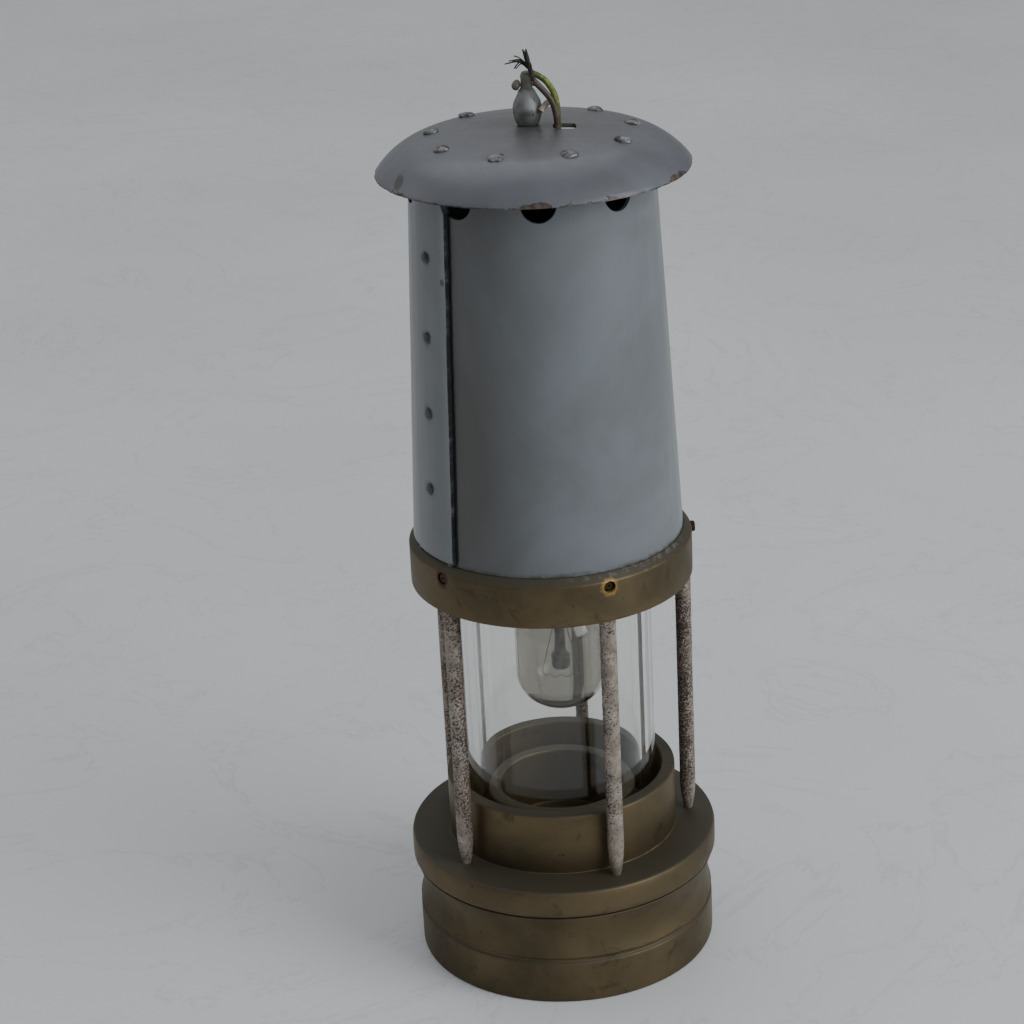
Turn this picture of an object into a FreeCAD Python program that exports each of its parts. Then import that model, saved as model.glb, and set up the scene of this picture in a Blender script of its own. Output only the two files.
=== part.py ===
import FreeCAD, Part
import math
import os

# Miner's safety lamp converted to electric light. Millimetres, +Z up, the lamp stands on z = 0
# and its axis is the Z axis. Angles are measured about that axis from the front, which faces -Y,
# and grow towards +X.

# ---- driving dimensions ----
RUNNING_GAP = 0.05          # radial clearance of a turning or sliding fit
SEAT_GAP = 0.10             # clearance between two bodies that rest near each other
JOINT_GAP = 0.3             # between the vessel's shoulder and the lower ring, over the seal

BAND_H = 12.8               # lower band of the oil vessel
GROOVE_H = 2.1
GROOVE_DEPTH = 0.7
WAIST_RISE = 8.0            # waist above the band
SHOULDER_RISE = 15.9        # shoulder that meets the lower ring, above the band
VESSEL_WALL = 3.0
VESSEL_ROOF = 2.4
BASE_PLATE_T = 1.6
BASE_RECESS = 1.0           # how far the base plate lies above the floor
NECK_H = 7.3                # threaded neck above the shoulder
NECK_WALL = 3.6

SEAT_H = 23.3               # burner seat's rim above the vessel's shoulder
SEAT_TUBE_WALL = 3.6
SEAT_WEB_T = 3.0
SEAT_WEB_RISE = 2.2         # web above the vessel's shoulder
BURNER_HOLE_R = 8.5

SEAL_WIDTH = 5.0
SEAL_RECESS = 0.9
SEAL_SIDE_GAP = 0.2

FLANGE_MARGIN = 6.2         # vessel's band outside the circle of pillars
FLANGE_H = 8.5              # lower ring
COLLAR_WALL = 3.9
COLLAR_H = 18.9
COLLAR_EDGE = 0.8
LEDGE_T = 4.0

GLASS_R = 28.7              # the lamp's other radii follow from this one
GLASS_WALL = 4.4
GLASS_H = 77.0
GLASS_SEAL_T = 1.5

PILLAR_COUNT = 5
PILLAR_FIRST = 22.8         # angle of one pillar
PILLAR_R = 2.45
PILLAR_FOOT_R = 1.5
PILLAR_FOOT_H = 7.0
SPIGOT_R = 1.5
SPIGOT_L = 3.2

UPPER_RING_H = 12.3
UPPER_RING_SHOULDER = 2.1
RING_OVER_GLASS = 0.7       # the upper ring hides this much of the glass
RING_GLASS_GAP = 1.5
RING_WEB_T = 1.5
SCREW_RISE = 10.6           # screws above the ring's underside
SCREW_HEAD_R = 1.65
SCREW_HOLE_R = 1.75
SCREW_SHANK_R = 1.0
SCREW_SLOT_W = 0.5
SCREW_SUNK = 0.5            # head below the ring's surface
SCREW_PROUD = 1.3           # the one screw that has backed out
PROUD_SCREW = 1             # which one, counted from PILLAR_FIRST

BONNET_H = 107.6            # from the upper ring to the cap's rim
BONNET_TAPER = 4.9
BONNET_WALL = 1.0
LAP_EDGE = -44.0            # free edge of the lap seam
LAP_SPAN = 32.0
LAP_RELIEF = 0.5            # the free edge stands off by this
LAP_RELIEF_SPAN = 2.6
LAP_OVERLAP = 0.3           # the lap's own sheet reaches this far into the wall
VENT_COUNT = 9
VENT_FIRST = 1.4
VENT_R = 4.9
VENT_DROP = 1.9             # vents' centres below the cap's rim
TAB_REACH = 8.9             # inward from the bonnet's top
SEAM_RIVET_ANGLE = -58.8
SEAM_RIVET_RISES = (21.0, 43.4, 65.4, 88.2)
SEAM_RIVET_R = 1.7
SEAM_RIVET_HEAD_H = 0.7

CAP_H = 11.8
CAP_EAVE = 4.9              # rim outside the bonnet's foot
CAP_CROWN_BALL = 185.0      # the crown is nearly flat
CAP_WALL = 1.2
CAP_RIVET_COUNT = 9
CAP_RIVET_FIRST = -20.0
CAP_RIVET_HEAD_R = 2.2
CAP_RIVET_HEAD_H = 1.7
CAP_RIVET_SHANK_R = 1.2

SLOT_X = 9.05               # hole in the cap for the flex
SLOT_Y = -2.8
SLOT_L = 6.3
SLOT_W = 5.7
SLOT_CORNER_R = 1.2

SWIVEL_X = -0.9             # the swivel's hole is punched a little off centre
STEM_R = 1.65
STEM_LOW_R = 2.5
STEM_RISE = 14.9            # stem's and pin's heights above the cap
PIN_RISE = 11.1
BOSS_FOOT_R = 3.1
BOSS_R = 4.1
BOSS_BELLY_RISE = 4.2
BOSS_H = 10.0
BOSS_NECK_R = 1.7
PIN_R = 0.55
PIN_BALL_R = 1.32
PIN_REACH = 2.4
WASHER_R = 6.5
WASHER_T = 1.2
STEM_HEAD_R = 4.0
STEM_HEAD_H = 1.8

HOLDER_X = 1.4              # the holder's hole in its plate is a little off centre
PLATE_T = 1.5
BARREL_WALL = 1.0
BARREL_BELOW = 12.5         # barrel below the plate
BARREL_ABOVE = 30.0
BARREL_FLANGE_T = 2.0
RING_NUT_H = 4.5
RING_NUT_NOTCHES = 24
RING_NUT_NOTCH_R = 0.9
COVER_WALL = 1.2
COVER_H = 34.0
COVER_SHOULDER = 5.0
CORD_ENTRY_R = 4.3
BLOCK_H = 15.0
PLUNGER_SPACING = 9.5
PLUNGER_TIP_R = 1.5
PLUNGER_TIP_L = 4.4
PLUNGER_COLLAR_R = 2.6
PLUNGER_COLLAR_H = 1.4
PLUNGER_GUIDE_R = 1.0
PLUNGER_GUIDE_L = 5.0
SPRING_R = 1.9
SPRING_WIRE_R = 0.28
SPRING_TURNS = 6
SPRING_END_GAP = 0.05
CHAMBER_R = 2.9
CHAMBER_ROOF = 2.0
TERMINAL_W = 5.0
TERMINAL_H = 4.0
TERMINAL_HOLE_R = 1.1
TERMINAL_SCREW_R = 1.3
TERMINAL_SCREW_L = 2.2

BULB_R = 13.4
BULB_L = 60.2
BULB_WALL = 0.7
BULB_CAP_R = 11.0
BULB_CAP_H = 24.4
BULB_CAP_WALL = 0.5
BULB_CAP_ROOF = 2.5
BULB_CONTACT_R = 2.2
BULB_CONTACT_H = 0.8
BULB_PIN_R = 1.0
BULB_PIN_REACH = 1.1
BULB_TWIST = 12.0           # degrees the bulb turns in its slots
STEM_GLASS_R = 1.9
BEAD_R = 2.5
FILAMENT_REACH = 6.0
FILAMENT_BOW = 5.0          # how far the filament bends forward
LEAD_R = 0.25
FILAMENT_R = 0.325

WIRE_D = 1.7
STRANDS_D = 1.1
# The three cores of the flex. Inside the bonnet a point is (x, y, share of the height from the
# lampholder's top to the cap's top). Outside it is (x, y, height above the cap's top).
BROWN_INSIDE = [
    (3.6, -1.3, 0.0), (3.9, -1.6, 0.12), (6.6, -4.6, 0.25), (11.6, -7.4, 0.40), (14.6, -8.4, 0.56),
    (12.4, -7.2, 0.72), (8.6, -5.4, 0.85), (7.1, -4.6, 0.95),
]
BROWN_OUTSIDE = [(7.1, -4.5, 2.6), (6.1, -4.3, 7.0), (3.9, -4.0, 10.0), (1.2, -3.5, 12.8)]
BROWN_STRANDS = [
    BROWN_OUTSIDE[-1], (0.6, -3.7, 14.8), (0.2, -3.5, 17.0), (-0.5, -2.8, 19.1), (-0.95, -1.9, 21.5),
]
EARTH_INSIDE = [
    (1.6, 2.1, 0.0), (1.9, 2.5, 0.12), (5.2, 3.0, 0.26), (9.8, 1.8, 0.41), (11.8, -1.0, 0.57),
    (9.9, -2.3, 0.73), (7.9, -2.5, 0.86), (7.2, -2.7, 0.95),
]
EARTH_OUTSIDE = [(7.45, -2.6, 3.9), (6.9, -2.2, 8.3), (5.0, -2.0, 11.8), (2.9, -1.9, 13.7), (1.1, -1.9, 14.5)]
EARTH_STRANDS = [
    EARTH_OUTSIDE[-1], (-0.1, -2.0, 16.3), (-1.5, -1.8, 17.8), (-3.3, -1.6, 18.6), (-5.1, -1.8, 17.7),
]
PALE_INSIDE = [
    (-0.8, -1.4, 0.0), (-0.9, -1.5, 0.12), (-0.6, 3.2, 0.25), (1.6, 8.6, 0.38), (6.0, 10.6, 0.52),
    (9.6, 8.4, 0.66), (10.2, 4.6, 0.79), (8.2, 0.9, 0.90), (7.2, -0.9, 0.97),
]
PALE_OUTSIDE = [(7.0, -0.8, 3.0), (6.3, -0.9, 6.0), (4.5, -2.1, 6.7), (2.7, -3.5, 4.4)]

# ---- sizes that follow from those ----
WAIST_Z = BAND_H + WAIST_RISE
SHOULDER_Z = BAND_H + SHOULDER_RISE
RING_Z = SHOULDER_Z + JOINT_GAP                      # underside of the lower ring
FLANGE_Z = RING_Z + FLANGE_H                         # flat top of the flange
COLLAR_TOP_Z = FLANGE_Z + COLLAR_H
NECK_TOP_Z = SHOULDER_Z + NECK_H
THREAD_TOP_Z = NECK_TOP_Z + 2.0
GLASS_SEAT_Z = THREAD_TOP_Z + LEDGE_T
GLASS_Z = GLASS_SEAT_Z + GLASS_SEAL_T
GLASS_TOP_Z = GLASS_Z + GLASS_H
UPPER_SEAL_TOP_Z = GLASS_TOP_Z + GLASS_SEAL_T
RING_LEDGE_Z = UPPER_SEAL_TOP_Z + RING_WEB_T
UPPER_RING_Z = GLASS_TOP_Z - RING_OVER_GLASS
UPPER_RING_TOP_Z = UPPER_RING_Z + UPPER_RING_H + UPPER_RING_SHOULDER
SCREW_Z = UPPER_RING_Z + SCREW_RISE
SEAT_TOP_Z = SHOULDER_Z + SEAT_H
SEAT_WEB_Z = SHOULDER_Z + SEAT_WEB_RISE
BASE_TOP_Z = BASE_RECESS + BASE_PLATE_T
CAP_RIM_Z = UPPER_RING_TOP_Z + BONNET_H
CAP_TOP_Z = CAP_RIM_Z + CAP_H
VENT_Z = CAP_RIM_Z - VENT_DROP

GLASS_INNER_R = GLASS_R - GLASS_WALL
COLLAR_INNER_R = GLASS_R + 1.8
COLLAR_R = COLLAR_INNER_R + COLLAR_WALL
LEDGE_INNER_R = GLASS_R - 4.3
SEAT_TUBE_R = LEDGE_INNER_R - 2.2
SEAT_BORE_R = SEAT_TUBE_R - SEAT_TUBE_WALL
THREAD_R = COLLAR_R - 4.4
NECK_BORE_R = THREAD_R - NECK_WALL
SEAL_INNER_R = THREAD_R + 3.0
PILLAR_CIRCLE_R = COLLAR_R + PILLAR_R + 1.7
UPPER_RING_R = PILLAR_CIRCLE_R + PILLAR_R + 0.3
VESSEL_R = PILLAR_CIRCLE_R + FLANGE_MARGIN
BASE_PLATE_R = VESSEL_R - 3.1
WAIST_R = VESSEL_R - 1.0
SHOULDER_R = VESSEL_R + 0.8
FLANGE_BELLY_R = SHOULDER_R + 0.6
FLANGE_TOP_R = SHOULDER_R + 0.2
BONNET_FOOT_R = UPPER_RING_R - 2.0
BONNET_TOP_R = BONNET_FOOT_R - BONNET_TAPER
TAB_INNER_R = BONNET_TOP_R - TAB_REACH
PILLAR_ANGLES = [PILLAR_FIRST + 360.0 / PILLAR_COUNT * k for k in range(PILLAR_COUNT)]

CAP_RIM_R = BONNET_FOOT_R + CAP_EAVE
CAP_CROWN_R = BONNET_TOP_R - 4.9                     # where the crown turns into the shoulder
CAP_RIVET_CIRCLE_R = BONNET_TOP_R - 5.5
CAP_LEAN = math.asin(CAP_CROWN_R / CAP_CROWN_BALL)   # slope of the crown's edge
CAP_CROWN_Z = CAP_TOP_Z - CAP_CROWN_BALL * (1 - math.cos(CAP_LEAN))
SHOULDER_SLOPE = math.atan2(CAP_CROWN_Z - CAP_RIM_Z, CAP_RIM_R - CAP_CROWN_R)
SHOULDER_BALL = math.hypot(CAP_CROWN_Z - CAP_RIM_Z, CAP_RIM_R - CAP_CROWN_R) / (
    2 * math.sin(SHOULDER_SLOPE - CAP_LEAN))         # the shoulder's arc runs on from the crown to the rim
SHOULDER_X = CAP_CROWN_R - SHOULDER_BALL * math.sin(CAP_LEAN)
SHOULDER_ARC_Z = CAP_CROWN_Z - SHOULDER_BALL * math.cos(CAP_LEAN)
CAP_RIM_INNER_R = SHOULDER_X + math.sqrt((SHOULDER_BALL - CAP_WALL) ** 2 - (CAP_RIM_Z - SHOULDER_ARC_Z) ** 2)
STEM_TOP_Z = CAP_TOP_Z + STEM_RISE
PIN_Z = CAP_TOP_Z + PIN_RISE

PLATE_TOP_Z = RING_LEDGE_Z + PLATE_T
BARREL_TOP_Z = PLATE_TOP_Z + BARREL_ABOVE
BARREL_R = BULB_CAP_R + BARREL_WALL + 0.3
BARREL_INNER_R = BARREL_R - BARREL_WALL
BARREL_FLANGE_R = BARREL_R + 4.2
RING_NUT_R = BARREL_R + 5.2
COVER_R = BARREL_R + 1.7
COVER_Z = PLATE_TOP_Z + BARREL_FLANGE_T
COVER_TOP_Z = COVER_Z + COVER_H
BULB_CAP_TOP_Z = PLATE_TOP_Z + 12.2
BULB_CAP_LOW_Z = BULB_CAP_TOP_Z - BULB_CAP_H
BULB_PIN_Z = BULB_CAP_TOP_Z - 6.2
BULB_TIP_Z = BULB_CAP_TOP_Z - BULB_L
BULB_SHOULDER_Z = BULB_CAP_LOW_Z - 9.8
BULB_NECK_Z = BULB_CAP_LOW_Z - 0.4
BULB_NECK_R = BULB_CAP_R - 1.4
BULB_TIP_BALL_R = BULB_R + 2.4                       # the bulb's end is a flat crown
BULB_TIP_CORNER_R = BULB_R - 2.1                     # that turns into the side over this radius
STEM_GLASS_LOW_Z = BULB_TIP_Z + 14.7
FILAMENT_Z = BULB_TIP_Z + 10.7
BLOCK_LOW_Z = BULB_CAP_TOP_Z + 2.4
BLOCK_TOP_Z = BLOCK_LOW_Z + BLOCK_H
CHAMBER_TOP_Z = BLOCK_TOP_Z - CHAMBER_ROOF
PLUNGER_Z = BULB_CAP_TOP_Z + BULB_CONTACT_H + SEAT_GAP
PLUNGER_COLLAR_Z = PLUNGER_Z + PLUNGER_TIP_L
PLUNGER_COLLAR_TOP_Z = PLUNGER_COLLAR_Z + PLUNGER_COLLAR_H

UP = FreeCAD.Vector(0, 0, 1)
ORIGIN = FreeCAD.Vector(0, 0, 0)


# ---- helpers ----
def vec(x, y, z=0.0):
    return FreeCAD.Vector(x, y, z)


def around(angle, radius, z=0.0):
    """The point at this angle from the front, radius and height."""
    a = math.radians(angle)
    return vec(radius * math.sin(a), -radius * math.cos(a), z)


def outline_wire(points):
    """A closed wire in the XZ plane. A point is (r, z); a pair of points is an arc's middle and end."""
    edges = []
    here = points[0]
    for item in list(points[1:]) + [points[0]]:
        if isinstance(item[0], tuple):
            middle, there = item
            edges.append(Part.Arc(vec(here[0], 0, here[1]), vec(middle[0], 0, middle[1]),
                                  vec(there[0], 0, there[1])).toShape())
        else:
            there = item
            if math.dist(here, there) > 1e-6:
                edges.append(Part.makeLine(vec(here[0], 0, here[1]), vec(there[0], 0, there[1])))
        here = there
    return Part.Wire(edges)


def turned(points, x=0.0, y=0.0, start=None, span=360.0):
    """What an (r, z) outline sweeps about a vertical axis, all round or from start over span."""
    solid = Part.Face(outline_wire(points)).revolve(ORIGIN, UP, span)
    if start is not None:
        solid.rotate(ORIGIN, UP, start - 90.0)
    solid.translate(vec(x, y))
    return solid


def crown(r, low, high):
    """The arc of a round crown from (r, low) to the axis at high, with its centre on the axis."""
    rise = high - low
    ball = (r ** 2 + rise ** 2) / (2 * rise)
    half = math.atan2(r, ball - rise) / 2
    return ((ball * math.sin(half), high - ball + ball * math.cos(half)), (0, high))


def ring(outer, inner, low, high, x=0.0, y=0.0):
    return turned([(inner, low), (outer, low), (outer, high), (inner, high)], x, y)


def disc(radius, low, high, x=0.0, y=0.0):
    return Part.makeCylinder(radius, high - low, vec(x, y, low))


def radial_rod(radius, angle, inner, outer, z):
    return Part.makeCylinder(radius, outer - inner, around(angle, inner, z), around(angle, 1.0))


def group(solids):
    return Part.makeCompound(solids)


def cord_tube(name, route, diameter):
    """A round tube along straight runs joined by tangent arcs."""
    points = [vec(*p) for p in route]
    edges = []
    here = points[0]
    radii = []
    for before, corner, after in zip(points, points[1:], points[2:]):
        back = before - corner
        ahead = after - corner
        shorter = min(back.Length, ahead.Length)
        half_turn = (math.pi - back.getAngle(ahead)) / 2
        cut = 0.45 * shorter
        radius = cut / math.tan(half_turn)
        back.normalize()
        ahead.normalize()
        inward = back + ahead
        inward.normalize()
        centre = corner + inward * (radius / math.cos(half_turn))
        arc_start = corner + back * cut
        arc_end = corner + ahead * cut
        edges.append(Part.LineSegment(here, arc_start).toShape())
        edges.append(Part.Arc(arc_start, centre - inward * radius, arc_end).toShape())
        radii.append(radius)
        here = arc_end
    edges.append(Part.LineSegment(here, points[-1]).toShape())
    path = Part.Wire(edges)
    section = Part.Wire(Part.makeCircle(diameter / 2, points[0], points[1] - points[0]))
    tube = path.makePipeShell([section], True, True)
    expected = math.pi * diameter ** 2 / 4 * path.Length
    print(name, "length", round(path.Length, 1), "tightest radius", round(min(radii), 1),
          "volume ratio", round(tube.Volume / expected, 4))
    return tube


# ---- base ----
def oil_vessel():
    groove_top = BAND_H + GROOVE_H
    groove_r = VESSEL_R - GROOVE_DEPTH
    roof = SHOULDER_Z - VESSEL_ROOF
    inner_r = WAIST_R - VESSEL_WALL
    shell = turned([
        (BASE_PLATE_R, 0), (VESSEL_R - 0.6, 0), (VESSEL_R, 0.6), (VESSEL_R, BAND_H),
        (groove_r, BAND_H + 0.6), (groove_r, groove_top - 0.5), (VESSEL_R, groove_top),
        (VESSEL_R - 0.1, groove_top + 0.5), ((WAIST_R, WAIST_Z), (SHOULDER_R, SHOULDER_Z)),
        (THREAD_R, SHOULDER_Z), (THREAD_R, NECK_TOP_Z), (NECK_BORE_R, NECK_TOP_Z), (NECK_BORE_R, roof),
        (inner_r - 1.0, roof), (inner_r, roof - 2.0), (inner_r, BASE_TOP_Z), (BASE_PLATE_R, BASE_TOP_Z),
    ])
    recess_inner_r = SEAL_INNER_R - SEAL_SIDE_GAP
    recess_outer_r = SEAL_INNER_R + SEAL_WIDTH + SEAL_SIDE_GAP
    return shell.cut(ring(recess_outer_r, recess_inner_r, SHOULDER_Z - SEAL_RECESS, SHOULDER_Z + 1))


def vessel_base():
    return turned([
        (0, BASE_RECESS), (BASE_PLATE_R - 4, BASE_RECESS), (BASE_PLATE_R - 3, BASE_RECESS - 0.5),
        (BASE_PLATE_R, BASE_RECESS - 0.5), (BASE_PLATE_R, BASE_TOP_Z), (0, BASE_TOP_Z),
    ])


def burner_seat():
    web_top = SEAT_WEB_Z + SEAT_WEB_T
    return turned([
        (BURNER_HOLE_R, SEAT_WEB_Z), (NECK_BORE_R, SEAT_WEB_Z), (NECK_BORE_R, web_top),
        (SEAT_TUBE_R, web_top), (SEAT_TUBE_R, SEAT_TOP_Z - 0.6), (SEAT_TUBE_R - 0.6, SEAT_TOP_Z),
        (SEAT_BORE_R + 0.4, SEAT_TOP_Z), (SEAT_BORE_R, SEAT_TOP_Z - 0.4), (SEAT_BORE_R, web_top),
        (BURNER_HOLE_R, web_top),
    ])


def vessel_seal():
    low = SHOULDER_Z - SEAL_RECESS + SEAT_GAP
    return ring(SEAL_INNER_R + SEAL_WIDTH, SEAL_INNER_R, low, RING_Z - SEAT_GAP)


def lower_ring():
    bore_r = THREAD_R + RUNNING_GAP
    body = turned([
        (bore_r, RING_Z), (FLANGE_TOP_R, RING_Z),
        ((FLANGE_BELLY_R, RING_Z + FLANGE_H * 0.45), (FLANGE_TOP_R, FLANGE_Z - 0.5)),
        (FLANGE_TOP_R - 0.5, FLANGE_Z), (COLLAR_R, FLANGE_Z), (COLLAR_R, COLLAR_TOP_Z - COLLAR_EDGE),
        ((COLLAR_R - 0.3 * COLLAR_EDGE, COLLAR_TOP_Z - 0.3 * COLLAR_EDGE),
         (COLLAR_R - COLLAR_EDGE, COLLAR_TOP_Z)),
        (COLLAR_INNER_R + 0.5, COLLAR_TOP_Z), (COLLAR_INNER_R, COLLAR_TOP_Z - 0.5),
        (COLLAR_INNER_R, GLASS_SEAT_Z), (LEDGE_INNER_R, GLASS_SEAT_Z), (LEDGE_INNER_R, THREAD_TOP_Z),
        (bore_r, THREAD_TOP_Z),
    ])
    for angle in PILLAR_ANGLES:
        foot = around(angle, PILLAR_CIRCLE_R, FLANGE_Z - SPIGOT_L)
        body = body.cut(Part.makeCylinder(SPIGOT_R, SPIGOT_L + 1, foot))
    return body


def pillars():
    rods = []
    for angle in PILLAR_ANGLES:
        place = around(angle, PILLAR_CIRCLE_R)
        rods.append(turned([
            (0, FLANGE_Z - SPIGOT_L), (SPIGOT_R, FLANGE_Z - SPIGOT_L), (SPIGOT_R, FLANGE_Z),
            (PILLAR_FOOT_R, FLANGE_Z), (PILLAR_R, FLANGE_Z + PILLAR_FOOT_H), (PILLAR_R, UPPER_RING_Z),
            (SPIGOT_R, UPPER_RING_Z), (SPIGOT_R, UPPER_RING_Z + SPIGOT_L), (0, UPPER_RING_Z + SPIGOT_L),
        ], place.x, place.y))
    return group(rods)


# ---- glass ----
def glass():
    chamfer = 0.4
    return turned([
        (GLASS_INNER_R + chamfer, GLASS_Z), (GLASS_R - chamfer, GLASS_Z), (GLASS_R, GLASS_Z + chamfer),
        (GLASS_R, GLASS_TOP_Z - chamfer), (GLASS_R - chamfer, GLASS_TOP_Z),
        (GLASS_INNER_R + chamfer, GLASS_TOP_Z), (GLASS_INNER_R, GLASS_TOP_Z - chamfer),
        (GLASS_INNER_R, GLASS_Z + chamfer),
    ])


def lower_glass_seal():
    return ring(GLASS_R, LEDGE_INNER_R, GLASS_SEAT_Z, GLASS_Z)


def upper_glass_seal():
    return ring(GLASS_R, LEDGE_INNER_R, GLASS_TOP_Z, UPPER_SEAL_TOP_Z)


# ---- upper ring ----
def upper_ring():
    wall_top = UPPER_RING_Z + UPPER_RING_H
    body = turned([
        (GLASS_R + RING_GLASS_GAP, UPPER_RING_Z), (UPPER_RING_R - 0.4, UPPER_RING_Z),
        (UPPER_RING_R, UPPER_RING_Z + 0.4), (UPPER_RING_R, wall_top - 0.3), (UPPER_RING_R - 0.3, wall_top),
        (BONNET_FOOT_R + 0.35, UPPER_RING_TOP_Z), (BONNET_FOOT_R, UPPER_RING_TOP_Z),
        (BONNET_FOOT_R, RING_LEDGE_Z), (LEDGE_INNER_R, RING_LEDGE_Z), (LEDGE_INNER_R, UPPER_SEAL_TOP_Z),
        (GLASS_R + RING_GLASS_GAP, UPPER_SEAL_TOP_Z),
    ])
    for k, angle in enumerate(PILLAR_ANGLES):
        top = around(angle, PILLAR_CIRCLE_R, UPPER_RING_Z - 1)
        body = body.cut(Part.makeCylinder(SPIGOT_R, SPIGOT_L + 1, top))
        hole_r = SCREW_SHANK_R if k == PROUD_SCREW else SCREW_HOLE_R
        body = body.cut(radial_rod(hole_r, angle, BONNET_FOOT_R - 0.5, UPPER_RING_R + 1, SCREW_Z))
    return body


def ring_screws():
    screws = []
    for k, angle in enumerate(PILLAR_ANGLES):
        proud = k == PROUD_SCREW
        head_out = UPPER_RING_R + SCREW_PROUD if proud else UPPER_RING_R - SCREW_SUNK
        head_in = UPPER_RING_R if proud else BONNET_FOOT_R
        head = radial_rod(SCREW_HEAD_R, angle, head_in, head_out, SCREW_Z)
        shank = radial_rod(SCREW_SHANK_R, angle, BONNET_FOOT_R - BONNET_WALL, head_in + 0.1, SCREW_Z)
        slot_corner = vec(-SCREW_SLOT_W / 2, -0.5, -2 * SCREW_HEAD_R)
        slot = Part.makeBox(SCREW_SLOT_W, 0.9, 4 * SCREW_HEAD_R, slot_corner)
        slot.rotate(ORIGIN, vec(0, 1, 0), 25.0 * k)
        slot.rotate(ORIGIN, UP, angle)
        slot.translate(around(angle, head_out, SCREW_Z))
        screws.append(head.fuse(shank).cut(slot).removeSplitter())
    return group(screws)


# ---- bonnet ----
def bonnet_r(z):
    """Outer radius of the bonnet's wall at this height."""
    return BONNET_FOOT_R - BONNET_TAPER * (z - UPPER_RING_TOP_Z) / BONNET_H


def bonnet():
    wall_top_z = cap_z(BONNET_TOP_R, CAP_WALL) - 1.6
    wall_top_r = bonnet_r(wall_top_z)
    tab_r = wall_top_r - 1.2
    under = CAP_WALL + BONNET_WALL
    wall = turned([
        (BONNET_FOOT_R - BONNET_WALL, PLATE_TOP_Z), (BONNET_FOOT_R, PLATE_TOP_Z),
        (BONNET_FOOT_R, UPPER_RING_TOP_Z), (wall_top_r, wall_top_z), (tab_r, cap_z(tab_r, CAP_WALL)),
        *cap_arcs(tab_r, TAB_INNER_R, CAP_WALL), (TAB_INNER_R, cap_z(TAB_INNER_R, under)),
        *cap_arcs(TAB_INNER_R, tab_r - 0.2, under), (wall_top_r - BONNET_WALL, wall_top_z - 0.8),
        (BONNET_FOOT_R - BONNET_WALL, UPPER_RING_TOP_Z),
    ])
    lap_z = UPPER_RING_TOP_Z + 0.1
    lap_top_z = CAP_RIM_Z + 2.0
    foot_r = bonnet_r(lap_z)
    top_r = bonnet_r(lap_top_z)
    lap = turned([
        (foot_r - LAP_OVERLAP, lap_z), (foot_r + BONNET_WALL, lap_z), (top_r + BONNET_WALL, lap_top_z),
        (top_r - LAP_OVERLAP, lap_top_z),
    ], start=LAP_EDGE - LAP_SPAN, span=LAP_SPAN)
    relief = turned([
        (foot_r, lap_z - 0.2), (foot_r + LAP_RELIEF, lap_z - 0.2), (top_r + LAP_RELIEF, lap_top_z + 0.2),
        (top_r, lap_top_z + 0.2),
    ], start=LAP_EDGE - LAP_RELIEF_SPAN, span=LAP_RELIEF_SPAN + 1)
    shell = wall.fuse(lap.cut(relief)).removeSplitter()
    for k in range(VENT_COUNT):
        angle = VENT_FIRST + 360.0 / VENT_COUNT * k
        shell = shell.cut(radial_rod(VENT_R, angle, TAB_INNER_R - 8, BONNET_FOOT_R + 4, VENT_Z))
        gap_corner = vec(-VENT_R, -BONNET_FOOT_R, VENT_Z)
        gap = Part.makeBox(2 * VENT_R, BONNET_FOOT_R, CAP_TOP_Z - VENT_Z, gap_corner)
        gap.rotate(ORIGIN, UP, angle)
        shell = shell.cut(gap)
    for angle in PILLAR_ANGLES:
        shell = shell.cut(radial_rod(SCREW_SHANK_R, angle, BONNET_FOOT_R - 3, BONNET_FOOT_R + 1, SCREW_Z))
    for rise in SEAM_RIVET_RISES:
        hole = radial_rod(SEAM_RIVET_R * 0.6, SEAM_RIVET_ANGLE, BONNET_TOP_R - 3, BONNET_FOOT_R + 4,
                          UPPER_RING_TOP_Z + rise)
        shell = shell.cut(hole)
    for place in cap_rivet_places():
        shell = shell.cut(disc(CAP_RIVET_SHANK_R, CAP_RIM_Z, CAP_TOP_Z, place.x, place.y))
    return shell.removeSplitter()


def seam_rivets():
    rivets = []
    for rise in SEAM_RIVET_RISES:
        z = UPPER_RING_TOP_Z + rise
        face = bonnet_r(z) + BONNET_WALL
        back = face - 2 * BONNET_WALL
        shank = radial_rod(SEAM_RIVET_R * 0.6, SEAM_RIVET_ANGLE, back - 0.2, face + 0.2, z)
        head = Part.makeCone(SEAM_RIVET_R, SEAM_RIVET_R * 0.6, SEAM_RIVET_HEAD_H,
                             around(SEAM_RIVET_ANGLE, face, z), around(SEAM_RIVET_ANGLE, 1.0))
        tail = radial_rod(SEAM_RIVET_R * 1.1, SEAM_RIVET_ANGLE, back - 1.0, back - 0.2, z)
        rivets.append(shank.fuse([head, tail]).removeSplitter())
    return group(rivets)


# ---- cap ----
def cap_z(r, inset):
    """Height of the cap's face at radius r, or of a face this far inside it."""
    if r <= (CAP_CROWN_BALL - inset) * math.sin(CAP_LEAN):
        return CAP_TOP_Z - CAP_CROWN_BALL + math.sqrt((CAP_CROWN_BALL - inset) ** 2 - r ** 2)
    return SHOULDER_ARC_Z + math.sqrt((SHOULDER_BALL - inset) ** 2 - (r - SHOULDER_X) ** 2)


def cap_arcs(start, end, inset):
    """Outline arcs that follow the cap's face from one radius to another, this far inside it."""
    crown_edge = (CAP_CROWN_BALL - inset) * math.sin(CAP_LEAN)
    crosses = min(start, end) < crown_edge < max(start, end)
    stops = [start, crown_edge, end] if crosses else [start, end]
    arcs = []
    for here, there in zip(stops, stops[1:]):
        middle = (here + there) / 2
        arcs.append(((middle, cap_z(middle, inset)), (there, cap_z(there, inset))))
    return arcs


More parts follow.
